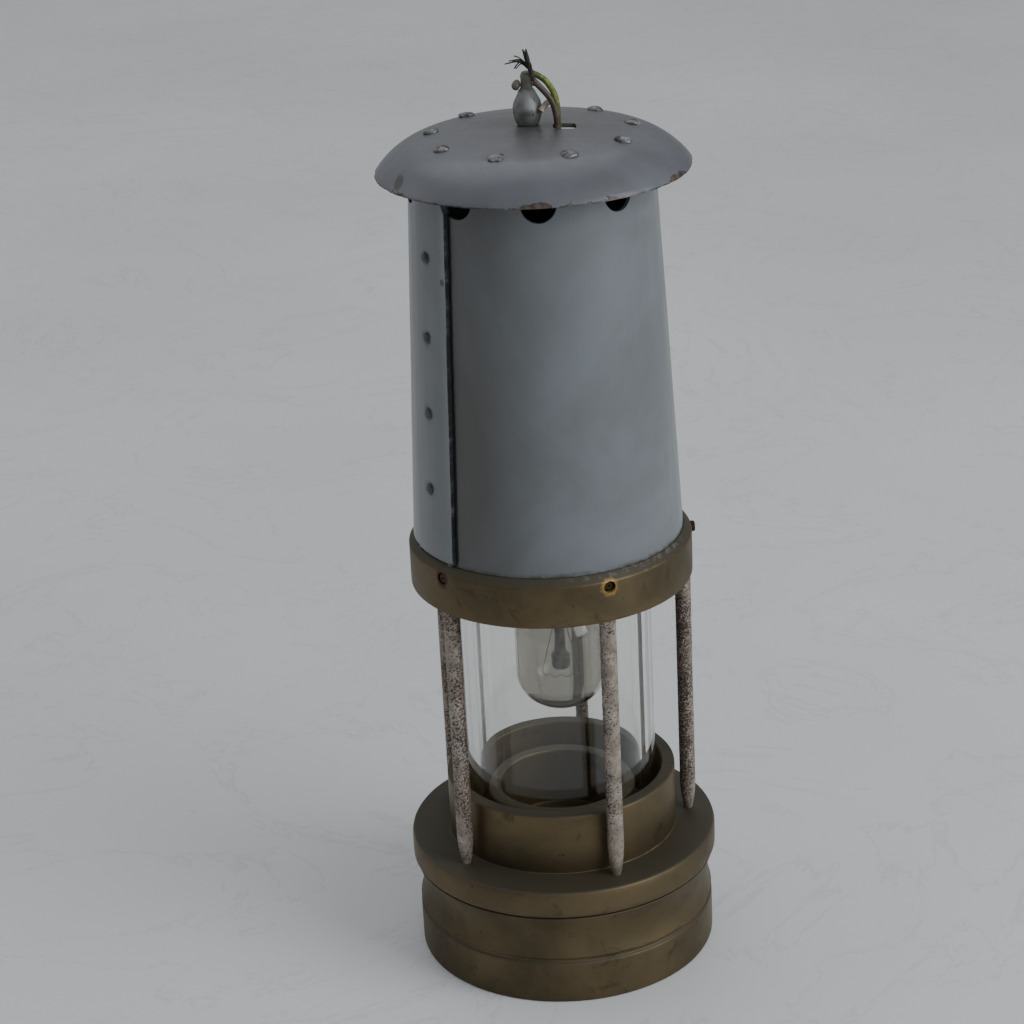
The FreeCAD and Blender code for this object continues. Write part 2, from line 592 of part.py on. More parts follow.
def cap_rivet_places():
    step = 360.0 / CAP_RIVET_COUNT
    return [around(CAP_RIVET_FIRST + step * k, CAP_RIVET_CIRCLE_R) for k in range(CAP_RIVET_COUNT)]


def slot_prism(low, high):
    corner = vec(SLOT_X - SLOT_L / 2, SLOT_Y - SLOT_W / 2, low)
    box = Part.makeBox(SLOT_L, SLOT_W, high - low, corner)
    uprights = [e for e in box.Edges if abs(e.BoundBox.ZLength - (high - low)) < 1e-3]
    return box.makeFillet(SLOT_CORNER_R, uprights)


def cap():
    dome = turned([
        (0, CAP_TOP_Z), *cap_arcs(0, CAP_RIM_R, 0), (CAP_RIM_INNER_R, CAP_RIM_Z),
        *cap_arcs(CAP_RIM_INNER_R, 0, CAP_WALL),
    ])
    dome = dome.cut(slot_prism(CAP_TOP_Z - 6, CAP_TOP_Z + 2))
    dome = dome.cut(disc(STEM_LOW_R + RUNNING_GAP, CAP_TOP_Z - 4, CAP_TOP_Z + 2, SWIVEL_X))
    for place in cap_rivet_places():
        dome = dome.cut(disc(CAP_RIVET_SHANK_R, CAP_RIM_Z, CAP_TOP_Z, place.x, place.y))
    return dome


def under_cap(inset):
    """Everything from the rim's level up to a face this far inside the cap's."""
    return turned([
        (0, CAP_RIM_Z), (BONNET_TOP_R, CAP_RIM_Z), (BONNET_TOP_R, cap_z(BONNET_TOP_R, inset)),
        *cap_arcs(BONNET_TOP_R, 0, inset),
    ])


def cap_rivets():
    top = cap_z(CAP_RIVET_CIRCLE_R, 0)
    under = top - CAP_WALL - BONNET_WALL
    low = top - 1.5
    rivets = []
    for place in cap_rivet_places():
        head = turned([(0, low), (CAP_RIVET_HEAD_R, low), (CAP_RIVET_HEAD_R, top - 0.1),
                       crown(CAP_RIVET_HEAD_R, top - 0.1, top + CAP_RIVET_HEAD_H)], place.x, place.y)
        head = head.cut(under_cap(0))
        shank = disc(CAP_RIVET_SHANK_R, under - 0.8, top + 0.2, place.x, place.y)
        tail = disc(CAP_RIVET_HEAD_R, under - 1.4, under + 1.0, place.x, place.y)
        tail = tail.common(under_cap(CAP_WALL + BONNET_WALL))
        rivets.append(shank.fuse([head, tail]).removeSplitter())
    return group(rivets)


# ---- swivel ----
def swivel_boss():
    foot = CAP_TOP_Z + SEAT_GAP
    top = foot + BOSS_H
    return turned([
        (STEM_R, foot), (BOSS_FOOT_R - 0.3, foot), (BOSS_FOOT_R, foot + 0.3),
        ((BOSS_R - 0.25, foot + BOSS_BELLY_RISE * 0.5), (BOSS_R, foot + BOSS_BELLY_RISE)),
        ((BOSS_R - 0.65, foot + BOSS_BELLY_RISE + 2.8), (BOSS_NECK_R + 0.2, top - 0.4)),
        (BOSS_NECK_R, top), (STEM_R, top),
    ], SWIVEL_X)


def swivel_stem():
    under = CAP_TOP_Z - CAP_WALL - SEAT_GAP
    head_low = under - WASHER_T - 0.2 - STEM_HEAD_H
    stem = turned([
        (0, head_low), (STEM_HEAD_R * 0.6, head_low), (STEM_HEAD_R, head_low + STEM_HEAD_H * 0.5),
        (STEM_HEAD_R, head_low + STEM_HEAD_H), (STEM_LOW_R, head_low + STEM_HEAD_H),
        (STEM_LOW_R, CAP_TOP_Z + SEAT_GAP), (STEM_R, CAP_TOP_Z + SEAT_GAP), (STEM_R, STEM_TOP_Z - 1.2),
        crown(STEM_R, STEM_TOP_Z - 1.2, STEM_TOP_Z),
    ], SWIVEL_X)
    return stem.cut(pin_rod())


def pin_rod():
    start = vec(SWIVEL_X - STEM_R - PIN_REACH + PIN_BALL_R * 0.7, 0, PIN_Z)
    return Part.makeCylinder(PIN_R, 2 * STEM_R + PIN_REACH, start, vec(1, 0, 0))


def swivel_pin():
    ball = Part.makeSphere(PIN_BALL_R, vec(SWIVEL_X - STEM_R - PIN_BALL_R * 0.75, 0.0, PIN_Z))
    stem = disc(STEM_R, PIN_Z - 5, PIN_Z + 5, SWIVEL_X)
    return pin_rod().fuse(ball.cut(stem)).removeSplitter()


def swivel_washer():
    top = CAP_TOP_Z - CAP_WALL - SEAT_GAP - 0.2
    return ring(WASHER_R, STEM_LOW_R, top - WASHER_T, top, SWIVEL_X)


# ---- lampholder ----
def holder_plate():
    plate = disc(BONNET_FOOT_R - 0.1, RING_LEDGE_Z, PLATE_TOP_Z)
    return plate.cut(disc(BARREL_R, RING_LEDGE_Z - 1, PLATE_TOP_Z + 1, HOLDER_X))


def holder_barrel():
    low = RING_LEDGE_Z - BARREL_BELOW
    tube = turned([
        (BARREL_INNER_R, low), (BARREL_R, low), (BARREL_R, PLATE_TOP_Z), (BARREL_FLANGE_R, PLATE_TOP_Z),
        (BARREL_FLANGE_R, PLATE_TOP_Z + BARREL_FLANGE_T), (BARREL_R, PLATE_TOP_Z + BARREL_FLANGE_T),
        (BARREL_R, BARREL_TOP_Z), (BARREL_INNER_R, BARREL_TOP_Z),
    ], HOLDER_X)
    slot_w = 2 * BULB_PIN_R + 0.5
    slot_low = BULB_PIN_Z - slot_w / 2
    slot_high = BULB_PIN_Z + slot_w / 2
    for side in (0, 180):
        leg = turned([
            (BARREL_INNER_R - 1, slot_low), (BARREL_R + 1, slot_low), (BARREL_R + 1, slot_high),
            (BARREL_INNER_R - 1, slot_high),
        ], HOLDER_X, start=side - BULB_TWIST, span=BULB_TWIST)
        entry = Part.makeBox(slot_w, 4, slot_high - low + 1, vec(-slot_w / 2, -BARREL_R - 1, low - 1))
        entry.rotate(ORIGIN, UP, side - BULB_TWIST)
        end = Part.makeCylinder(slot_w / 2, 4, vec(0, -BARREL_R - 1, BULB_PIN_Z), vec(0, 1, 0))
        end.rotate(ORIGIN, UP, side)
        for cut in (entry, end):
            cut.translate(vec(HOLDER_X, 0))
        tube = tube.cut(leg.fuse([entry, end]))
    return tube


def holder_ring():
    high = RING_LEDGE_Z
    nut = ring(RING_NUT_R, BARREL_R, high - RING_NUT_H, high, HOLDER_X)
    for k in range(RING_NUT_NOTCHES):
        place = around(360.0 / RING_NUT_NOTCHES * k, RING_NUT_R + 0.5)
        nut = nut.cut(disc(RING_NUT_NOTCH_R, high - RING_NUT_H - 1, high + 1, place.x + HOLDER_X, place.y))
    return nut


def holder_cover():
    shoulder_z = COVER_TOP_Z - COVER_SHOULDER
    shoulder_r = COVER_R - COVER_SHOULDER
    roof = COVER_TOP_Z - COVER_WALL
    inner_r = COVER_R - COVER_WALL
    return turned([
        (inner_r, COVER_Z), (COVER_R, COVER_Z), (COVER_R, shoulder_z),
        ((COVER_R - 1.4, COVER_TOP_Z - 1.5), (shoulder_r, COVER_TOP_Z)), (CORD_ENTRY_R, COVER_TOP_Z),
        (CORD_ENTRY_R, roof), (shoulder_r - 0.3, roof),
        ((inner_r - 1.3, COVER_TOP_Z - 2.4), (inner_r, shoulder_z)),
    ], HOLDER_X)


def plunger_places():
    return [vec(HOLDER_X, side * PLUNGER_SPACING / 2) for side in (-1, 1)]


def holder_block():
    block = disc(BARREL_INNER_R, BLOCK_LOW_Z, BLOCK_TOP_Z, HOLDER_X)
    shelf = PLUNGER_COLLAR_Z - SEAT_GAP
    for place in plunger_places():
        block = block.cut(disc(PLUNGER_TIP_R + RUNNING_GAP, BLOCK_LOW_Z - 1, shelf, place.x, place.y))
        block = block.cut(disc(CHAMBER_R, shelf, CHAMBER_TOP_Z, place.x, place.y))
        block = block.cut(disc(PLUNGER_GUIDE_R + 0.4, CHAMBER_TOP_Z - 1, BLOCK_TOP_Z + 1, place.x, place.y))
    return block


def terminals():
    posts = []
    half = TERMINAL_W / 2
    middle_z = BLOCK_TOP_Z + TERMINAL_H / 2
    for place in plunger_places():
        post_corner = vec(place.x - half, place.y - half, BLOCK_TOP_Z)
        post = Part.makeBox(TERMINAL_W, TERMINAL_W, TERMINAL_H, post_corner)
        hole_start = vec(place.x - TERMINAL_W, place.y, middle_z)
        hole = Part.makeCylinder(TERMINAL_HOLE_R, 2 * TERMINAL_W, hole_start, vec(1, 0, 0))
        out = 1 if place.y > 0 else -1
        screw = Part.makeCylinder(TERMINAL_SCREW_R, TERMINAL_SCREW_L,
                                  vec(place.x, place.y + out * (half - 1.0), middle_z), vec(0, out, 0))
        posts.append(post.cut(hole).fuse(screw).removeSplitter())
    return group(posts)


def contact_plungers():
    guide_top = PLUNGER_COLLAR_TOP_Z + PLUNGER_GUIDE_L
    pins = []
    for place in plunger_places():
        pins.append(turned([
            (0, PLUNGER_Z), (PLUNGER_TIP_R - 0.5, PLUNGER_Z), (PLUNGER_TIP_R, PLUNGER_Z + 0.5),
            (PLUNGER_TIP_R, PLUNGER_COLLAR_Z), (PLUNGER_COLLAR_R, PLUNGER_COLLAR_Z),
            (PLUNGER_COLLAR_R, PLUNGER_COLLAR_TOP_Z), (PLUNGER_GUIDE_R, PLUNGER_COLLAR_TOP_Z),
            (PLUNGER_GUIDE_R, guide_top), (0, guide_top),
        ], place.x, place.y))
    return group(pins)


def plunger_springs():
    springs = []
    end = SPRING_WIRE_R + SPRING_END_GAP
    low = PLUNGER_COLLAR_TOP_Z + end
    height = CHAMBER_TOP_Z - end - low
    for place in plunger_places():
        path = Part.makeHelix(height / SPRING_TURNS, height, SPRING_R)
        path.translate(vec(place.x, place.y, low))
        start = vec(place.x + SPRING_R, place.y, low)
        section = Part.Wire(Part.makeCircle(SPRING_WIRE_R, start, vec(0, 1, 0)))
        springs.append(Part.Wire(path.Edges).makePipeShell([section], True, True))
    return group(springs)


# ---- bulb ----
def bulb_end(inset):
    """The bulb's round end from the axis to its side, drawn this far inside the outer face."""
    ball = BULB_TIP_BALL_R - inset
    corner = BULB_TIP_CORNER_R - inset
    corner_x = BULB_R - BULB_TIP_CORNER_R
    ball_z = BULB_TIP_Z + BULB_TIP_BALL_R
    lean = math.asin(corner_x / (BULB_TIP_BALL_R - BULB_TIP_CORNER_R))
    corner_z = ball_z - (BULB_TIP_BALL_R - BULB_TIP_CORNER_R) * math.cos(lean)
    turn = (lean + math.pi / 2) / 2
    crown_middle = (ball * math.sin(lean / 2), ball_z - ball * math.cos(lean / 2))
    crown_end = (ball * math.sin(lean), ball_z - ball * math.cos(lean))
    corner_middle = (corner_x + corner * math.sin(turn), corner_z - corner * math.cos(turn))
    return crown_middle, crown_end, corner_middle, (BULB_R - inset, corner_z)


def bulb_glass():
    wall = BULB_WALL
    outer = bulb_end(0.0)
    inner = bulb_end(wall)
    neck_bend = (BULB_R * 0.45 + BULB_NECK_R * 0.55, (BULB_SHOULDER_Z + BULB_NECK_Z) / 2)
    top = BULB_CAP_LOW_Z + 8
    return turned([
        (0, BULB_TIP_Z), (outer[0], outer[1]), (outer[2], outer[3]), (BULB_R, BULB_SHOULDER_Z), neck_bend,
        (BULB_NECK_R, BULB_NECK_Z), (BULB_NECK_R, top), (BULB_NECK_R - wall, top),
        (BULB_NECK_R - wall, BULB_NECK_Z), (neck_bend[0] - wall, neck_bend[1] - 0.2),
        (BULB_R - wall, BULB_SHOULDER_Z - 0.3), inner[3], (inner[2], inner[1]),
        (inner[0], (0, BULB_TIP_Z + wall)),
    ], HOLDER_X)


def bulb_cap():
    inner = BULB_CAP_R - BULB_CAP_WALL
    roof = BULB_CAP_TOP_Z - BULB_CAP_ROOF
    shell = turned([
        (BULB_NECK_R + 0.1, BULB_CAP_LOW_Z), (inner + 0.2, BULB_CAP_LOW_Z),
        (BULB_CAP_R, BULB_CAP_LOW_Z + 1.2), (BULB_CAP_R, BULB_CAP_TOP_Z - 1.0),
        (BULB_CAP_R - 1.0, BULB_CAP_TOP_Z), (0, BULB_CAP_TOP_Z),
        (0, roof), (inner, roof), (inner, BULB_CAP_LOW_Z + 1.4), (BULB_NECK_R + 0.1, BULB_CAP_LOW_Z + 0.6),
    ], HOLDER_X)
    for side in (-1, 1):
        pin = Part.makeCylinder(BULB_PIN_R, BULB_PIN_REACH + 0.4,
                                vec(HOLDER_X, side * (BULB_CAP_R - 0.4), BULB_PIN_Z), vec(0, side, 0))
        shell = shell.fuse(pin)
    return shell.removeSplitter()


def bulb_contacts():
    pads = []
    for place in plunger_places():
        pads.append(turned([
            (0, BULB_CAP_TOP_Z), (BULB_CONTACT_R, BULB_CAP_TOP_Z),
            crown(BULB_CONTACT_R, BULB_CAP_TOP_Z, BULB_CAP_TOP_Z + BULB_CONTACT_H),
        ], place.x, place.y))
    return group(pads)


def bulb_stem():
    flare_z = BULB_CAP_LOW_Z + 7
    flare_r = BULB_NECK_R - BULB_WALL - 0.1
    bead_z = STEM_GLASS_LOW_Z
    return turned([
        (0, bead_z - BEAD_R), ((BEAD_R * 0.707, bead_z - BEAD_R * 0.707), (BEAD_R, bead_z)),
        ((BEAD_R * 0.9, bead_z + 1.3), (STEM_GLASS_R, bead_z + 2.4)), (STEM_GLASS_R, flare_z - 6),
        (flare_r, flare_z), (flare_r, flare_z + 0.8), (0, flare_z + 0.8),
    ], HOLDER_X)


def bulb_filament():
    solids = []
    ends = []
    for side in (-1, 1):
        top = vec(HOLDER_X + side * (STEM_GLASS_R + 0.7), 0, STEM_GLASS_LOW_Z + 14)
        end = vec(HOLDER_X + side * FILAMENT_REACH, 0, FILAMENT_Z)
        solids.append(Part.makeCylinder(LEAD_R, (end - top).Length, top, end - top))
        ends.append(end - vec(0, 0, 0.4))
    coil = Part.Arc(ends[0], vec(HOLDER_X, -FILAMENT_BOW, FILAMENT_Z - 1.0), ends[1]).toShape()
    section = Part.Wire(Part.makeCircle(FILAMENT_R, coil.valueAt(coil.FirstParameter),
                                        coil.tangentAt(coil.FirstParameter)))
    solids.append(Part.Wire([coil]).makePipeShell([section], True, True))
    return solids[0].fuse(solids[1:]).removeSplitter()


# ---- the flex ----
def route(inside, outside):
    rise = CAP_TOP_Z - COVER_TOP_Z
    points = [(x, y, COVER_TOP_Z + share * rise) for x, y, share in inside]
    return points + [(x, y, CAP_TOP_Z + height) for x, y, height in outside]


def flex():
    return {
        "brown_wire": cord_tube("brown_wire", route(BROWN_INSIDE, BROWN_OUTSIDE), WIRE_D),
        "earth_wire": cord_tube("earth_wire", route(EARTH_INSIDE, EARTH_OUTSIDE), WIRE_D),
        "pale_wire": cord_tube("pale_wire", route(PALE_INSIDE, PALE_OUTSIDE), WIRE_D),
        "brown_strands": cord_tube("brown_strands", route([], BROWN_STRANDS), STRANDS_D),
        "earth_strands": cord_tube("earth_strands", route([], EARTH_STRANDS), STRANDS_D),
    }


def main():
    makers = [
        oil_vessel, vessel_base, burner_seat, vessel_seal, lower_ring, pillars, glass, lower_glass_seal,
        upper_glass_seal, upper_ring, ring_screws, bonnet, seam_rivets, cap, cap_rivets, swivel_boss,
        swivel_stem, swivel_pin, swivel_washer, holder_plate, holder_barrel, holder_ring, holder_cover,
        holder_block, terminals, contact_plungers, plunger_springs, bulb_glass, bulb_cap, bulb_contacts,
        bulb_stem, bulb_filament,
    ]
    shapes = {maker.__name__: maker() for maker in makers}
    shapes.update(flex())
    os.makedirs("parts", exist_ok=True)
    for name, shape in shapes.items():
        if not shape.isValid():
            print("not valid:", name)
        shape.exportStep("parts/" + name + ".step")
    print(len(shapes), "nodes")


main()
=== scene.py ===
import bpy
import math
import random
from mathutils import Matrix, Vector, noise


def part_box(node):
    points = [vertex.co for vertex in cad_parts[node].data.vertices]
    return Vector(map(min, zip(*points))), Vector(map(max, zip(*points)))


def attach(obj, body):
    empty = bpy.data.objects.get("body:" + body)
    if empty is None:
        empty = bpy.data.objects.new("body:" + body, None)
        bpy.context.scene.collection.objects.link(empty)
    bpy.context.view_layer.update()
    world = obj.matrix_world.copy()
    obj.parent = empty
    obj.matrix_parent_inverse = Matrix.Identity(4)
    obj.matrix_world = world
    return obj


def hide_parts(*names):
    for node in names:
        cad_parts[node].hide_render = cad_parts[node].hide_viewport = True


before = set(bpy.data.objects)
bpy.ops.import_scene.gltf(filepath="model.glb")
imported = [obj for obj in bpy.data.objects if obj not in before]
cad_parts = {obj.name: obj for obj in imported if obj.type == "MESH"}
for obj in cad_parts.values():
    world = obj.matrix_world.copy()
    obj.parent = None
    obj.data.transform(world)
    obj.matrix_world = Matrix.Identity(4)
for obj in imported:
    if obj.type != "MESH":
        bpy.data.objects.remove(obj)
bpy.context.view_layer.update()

# Outlines below are in millimetres, in the lamp's own frame, and every piece is made in metres.
MM = 0.001


def low_z(node):
    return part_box(node)[0].z / MM


def high_z(node):
    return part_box(node)[1].z / MM


def reach(node):
    """How far a node that is round about the lamp's axis comes out from it."""
    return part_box(node)[1].y / MM


def centre_x(node):
    low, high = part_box(node)
    return (low.x + high.x) / 2 / MM


def around(angle, radius, z=0.0):
    """The point at this angle from the front, radius and height."""
    a = math.radians(angle)
    return Vector((radius * math.sin(a), -radius * math.cos(a), z))


# ---- sizes, from the frame and by name ----
VESSEL_TOP_R = reach("oil_vessel")
RING_Z = low_z("lower_ring")
RING_R = reach("lower_ring")
COLLAR_TOP_Z = high_z("lower_ring")
GLASS_Z, GLASS_TOP_Z, GLASS_R = low_z("glass"), high_z("glass"), reach("glass")
UPPER_RING_Z, UPPER_RING_TOP_Z = low_z("upper_ring"), high_z("upper_ring")
UPPER_RING_R = reach("upper_ring")
SEAT_Z, SEAT_TOP_Z = low_z("burner_seat"), high_z("burner_seat")
CAP_RIM_Z, CAP_TOP_Z, CAP_RIM_R = low_z("cap"), high_z("cap"), reach("cap")
BONNET_Z, BONNET_TOP_Z = low_z("bonnet"), high_z("bonnet")
BULB_X = centre_x("bulb_glass")
BULB_TIP_Z, BULB_TOP_Z = low_z("bulb_glass"), high_z("bulb_glass")
SWIVEL_X = centre_x("swivel_boss")
STEM_TOP_Z = high_z("swivel_stem")

BAND_R = VESSEL_TOP_R - 0.8
BAND_H = 12.8
WAIST_R = VESSEL_TOP_R - 1.8
WAIST_Z = 20.8
SHOULDER_Z = RING_Z - 0.3
THREAD_R = 30.0
NECK_WALL = 3.6
FLANGE_Z = RING_Z + 8.5
COLLAR_R = 34.4
COLLAR_INNER_R = 30.5
LEDGE_R = 24.4

PILLAR_FIRST = 22.8
PILLAR_CIRCLE_R = 38.55
PILLAR_R = 2.45
SCREW_Z = 130.4
SCREW_HOLE_R = 1.75
PROUD_SCREW = 1
SCREW_STANDS_OUT = (-0.75, 1.3, -0.75, -0.75, -0.3)
RUST_SHARE = (0.08, 0.34, 0.05, 0.12, 0.24)    # how far the rust has gone on each pillar

BONNET_FOOT_R = 38.8
BONNET_TOP_R = 33.9
BONNET_WALL = 1.0
LAP_EDGE = -44.0
LAP_END = -78.0
LAP_RELIEF = 0.75
VENT_FIRST, VENT_COUNT, VENT_R, VENT_Z = 1.4, 9, 4.9, 239.9
SEAM_RIVET_ANGLE = -58.8
SEAM_RIVET_Z = (155.2, 177.6, 199.6, 222.4)

CAP_CROWN_R, CAP_CROWN_BALL, CAP_WALL = 29.0, 185.0, 1.2
CAP_LEAN = math.asin(CAP_CROWN_R / CAP_CROWN_BALL)
CAP_CROWN_Z = CAP_TOP_Z - CAP_CROWN_BALL * (1 - math.cos(CAP_LEAN))
CAP_CHORD = math.hypot(CAP_CROWN_Z - CAP_RIM_Z, CAP_RIM_R - CAP_CROWN_R)
CAP_SLOPE = math.atan2(CAP_CROWN_Z - CAP_RIM_Z, CAP_RIM_R - CAP_CROWN_R)
SHOULDER_BALL = CAP_CHORD / (2 * math.sin(CAP_SLOPE - CAP_LEAN))
SHOULDER_X = CAP_CROWN_R - SHOULDER_BALL * math.sin(CAP_LEAN)
SHOULDER_ARC_Z = CAP_CROWN_Z - SHOULDER_BALL * math.cos(CAP_LEAN)
CAP_RIVET_FIRST, CAP_RIVET_COUNT, CAP_RIVET_CIRCLE_R = -20.0, 9, 28.4
SLOT_X, SLOT_Y, SLOT_L, SLOT_W, SLOT_CORNER_R = 9.05, -2.68, 6.3, 5.45, 1.2

PILLAR_ANGLES = [PILLAR_FIRST + 72.0 * k for k in range(5)]

# ---- the flex's cores, as the design routes them ----
# Inside the bonnet a point is (x, y, share of the height from the lampholder's top to the cap's top).
# Outside it is (x, y, height above the cap's top).
WIRE_D = 0.0017
BROWN_INSIDE = [
    (3.6, -1.3, 0.0), (3.9, -1.6, 0.12), (6.6, -4.6, 0.25), (11.6, -7.4, 0.40), (14.6, -8.4, 0.56),
    (12.4, -7.2, 0.72), (8.6, -5.4, 0.85), (7.1, -4.6, 0.95),
]
BROWN_OUTSIDE = [(7.1, -4.5, 2.6), (6.1, -4.3, 7.0), (3.9, -4.0, 10.0), (1.2, -3.5, 12.8)]
BROWN_STRANDS = [
    BROWN_OUTSIDE[-1], (0.6, -3.7, 14.8), (0.2, -3.5, 17.0), (-0.5, -2.8, 19.1), (-0.95, -1.9, 21.5),
]
EARTH_INSIDE = [
    (1.6, 2.1, 0.0), (1.9, 2.5, 0.12), (5.2, 3.0, 0.26), (9.8, 1.8, 0.41), (11.8, -1.0, 0.57),
    (9.9, -2.3, 0.73), (7.9, -2.5, 0.86), (7.2, -2.7, 0.95),
]
EARTH_OUTSIDE = [(7.45, -2.6, 3.9), (6.9, -2.2, 8.3), (5.0, -2.0, 11.8), (2.9, -1.9, 13.7), (1.1, -1.9, 14.5)]
EARTH_STRANDS = [
    EARTH_OUTSIDE[-1], (-0.1, -2.0, 16.3), (-1.5, -1.8, 17.8), (-3.3, -1.6, 18.6), (-5.1, -1.8, 17.7),
]
PALE_INSIDE = [
    (-0.8, -1.4, 0.0), (-0.9, -1.5, 0.12), (-0.6, 3.2, 0.25), (1.6, 8.6, 0.38), (6.0, 10.6, 0.52),
    (9.6, 8.4, 0.66), (10.2, 4.6, 0.79), (8.2, 0.9, 0.90), (7.2, -0.9, 0.97),
]
PALE_OUTSIDE = [(7.0, -0.8, 3.0), (6.3, -0.9, 6.0), (4.5, -2.1, 6.7), (2.7, -3.5, 4.4)]


def route(inside, outside):
    """A core's points in metres."""
    low = high_z("holder_cover")
    points = [(x, y, low + share * (CAP_TOP_Z - low)) for x, y, share in inside]
    points += [(x, y, CAP_TOP_Z + rise) for x, y, rise in outside]
    return [tuple(v * MM for v in point) for point in points]


# ---- camera ----
def make_camera():
    yaw, pitch, roll = (math.radians(a) for a in (-0.868, 22.235, -2.961))
    ahead = Vector((math.sin(yaw) * math.cos(pitch), math.cos(yaw) * math.cos(pitch), -math.sin(pitch)))
    level = Vector((math.cos(yaw), -math.sin(yaw), 0))
    upright = level.cross(ahead)
    right = level * math.cos(roll) + upright * math.sin(roll)
    up = upright * math.cos(roll) - level * math.sin(roll)
    data = bpy.data.cameras.new("camera")
    data.lens = 93.16
    data.sensor_width = 36.0
    data.clip_start = 0.05
    data.clip_end = 30.0
    camera = bpy.data.objects.new("camera", data)
    bpy.context.scene.collection.objects.link(camera)
    camera.matrix_world = Matrix.Translation((0, -0.71427, 0.43086)) @ Matrix((right, up, -ahead)).transposed().to_4x4()
    bpy.context.scene.camera = camera


# ---- finishes ----
def srgb(red, green, blue):
    """A colour given as it looks on a screen, 0 to 255, as linear light."""
    def linear(value):
        share = value / 255
        return share / 12.92 if share <= 0.04045 else ((share + 0.055) / 1.055) ** 2.4
    return (linear(red), linear(green), linear(blue), 1.0)


class Finish:
    """A procedural material built up step by step. Its coordinates are the lamp's own, in metres."""

    def __init__(self, name, **sockets):
        self.material = bpy.data.materials.new(name)
        self.material.use_nodes = True
        self.tree = self.material.node_tree
        self.shader = self.tree.nodes["Principled BSDF"]
        self.set(**sockets)
        self.place = self.add("ShaderNodeTexCoord").outputs["Object"]

    def add(self, kind, inputs=None, **settings):
        node = self.tree.nodes.new(kind)
        for key, value in settings.items():
            setattr(node, key, value)
        for key, value in (inputs or {}).items():
            self.join(value, node.inputs[key])
        return node

    def join(self, value, socket):
        if isinstance(value, bpy.types.NodeSocket):
            self.tree.links.new(value, socket)
        else:
            socket.default_value = value

    def set(self, **sockets):
        for key, value in sockets.items():
            self.join(value, self.shader.inputs[key.replace("_", " ")])

    def math(self, operation, a, b=0.0):
        return self.add("ShaderNodeMath", {0: a, 1: b}, operation=operation).outputs[0]

    def stretched(self, x, y, z, shift=0.0):
        return self.add("ShaderNodeMapping", {"Vector": self.place, "Scale": (x, y, z),
                                              "Location": (shift, shift * 0.7, -shift)}).outputs[0]

    def polar(self, round_scale, up_scale, shift=0.0):
        """Coordinates that run round the axis and up it, for marks left by turning and wiping."""
        parts = self.add("ShaderNodeSeparateXYZ", {0: self.place})
        turn = self.math("ARCTAN2", parts.outputs[0], parts.outputs[1])
        side_a = self.math("MULTIPLY", self.math("SINE", turn), round_scale)
        side_b = self.math("MULTIPLY", self.math("COSINE", turn), round_scale)
        rise = self.math("MULTIPLY_ADD", parts.outputs[2], up_scale)
        rise.node.inputs[2].default_value = shift
        return self.add("ShaderNodeCombineXYZ", {0: side_a, 1: side_b, 2: rise}).outputs[0]

    def noise(self, scale, detail=4.0, rough=0.55, vector=None, warp=0.0):
        return self.add("ShaderNodeTexNoise", {"Vector": vector or self.place, "Scale": scale, "Detail": detail,
                                               "Roughness": rough, "Distortion": warp}).outputs["Fac"]

    def cells(self, scale, vector=None):
        return self.add("ShaderNodeTexVoronoi", {"Vector": vector or self.place, "Scale": scale}).outputs["Distance"]

    def ease(self, value, low, high):
        """0 below low, 1 above high and smooth between them. It falls instead if low is above high."""
        return self.add("ShaderNodeMapRange", {"Value": value, "From Min": low, "From Max": high},
                        interpolation_type="SMOOTHSTEP").outputs["Result"]

    def mix(self, factor, a, b):
        node = self.add("ShaderNodeMix", data_type="RGBA")
        for index, value in ((0, factor), (6, a), (7, b)):
            self.join(value, node.inputs[index])
        return node.outputs[2]

    def blend(self, factor, a, b):
        node = self.add("ShaderNodeMix", data_type="FLOAT")
        for index, value in ((0, factor), (2, a), (3, b)):
            self.join(value, node.inputs[index])
        return node.outputs[0]

    def height(self):
        """Height above the floor in millimetres."""
        return self.math("DIVIDE", self.add("ShaderNodeSeparateXYZ", {0: self.place}).outputs[2], MM)

    def radius(self):
        """Distance from the lamp's axis in millimetres."""
        flat = self.add("ShaderNodeVectorMath", {0: self.place, 1: (1, 1, 0)}, operation="MULTIPLY").outputs[0]
        return self.math("DIVIDE", self.add("ShaderNodeVectorMath", {0: flat}, operation="LENGTH").outputs["Value"], MM)

    def angle(self):
        """Angle from the lamp's front in degrees, positive to the right."""
        parts = self.add("ShaderNodeSeparateXYZ", {0: self.place})
        turn = self.math("ARCTAN2", parts.outputs[0], self.math("MULTIPLY", parts.outputs[1], -1.0))
        return self.math("DEGREES", turn)

    def near(self, value, middle, reach_low, reach_high):
        """1 within reach_low of middle, falling to 0 at reach_high."""
        gap = self.math("ABSOLUTE", self.math("SUBTRACT", value, middle))
        return self.ease(gap, reach_high, reach_low)

    def bump(self, relief, distance, under=None):
        inputs = {"Height": relief, "Distance": distance, "Strength": 1.0}
        if under:
            inputs["Normal"] = under
        return self.add("ShaderNodeBump", inputs).outputs["Normal"]


def attribute(finish, name):
    return finish.add("ShaderNodeAttribute", attribute_name=name).outputs["Fac"]


def upward(f):
    """1 on faces that look up, where dirt settles."""
    normal = f.add("ShaderNodeNewGeometry").outputs["Normal"]
    return f.ease(f.add("ShaderNodeSeparateXYZ", {0: normal}).outputs[2], 0.35, 0.78)


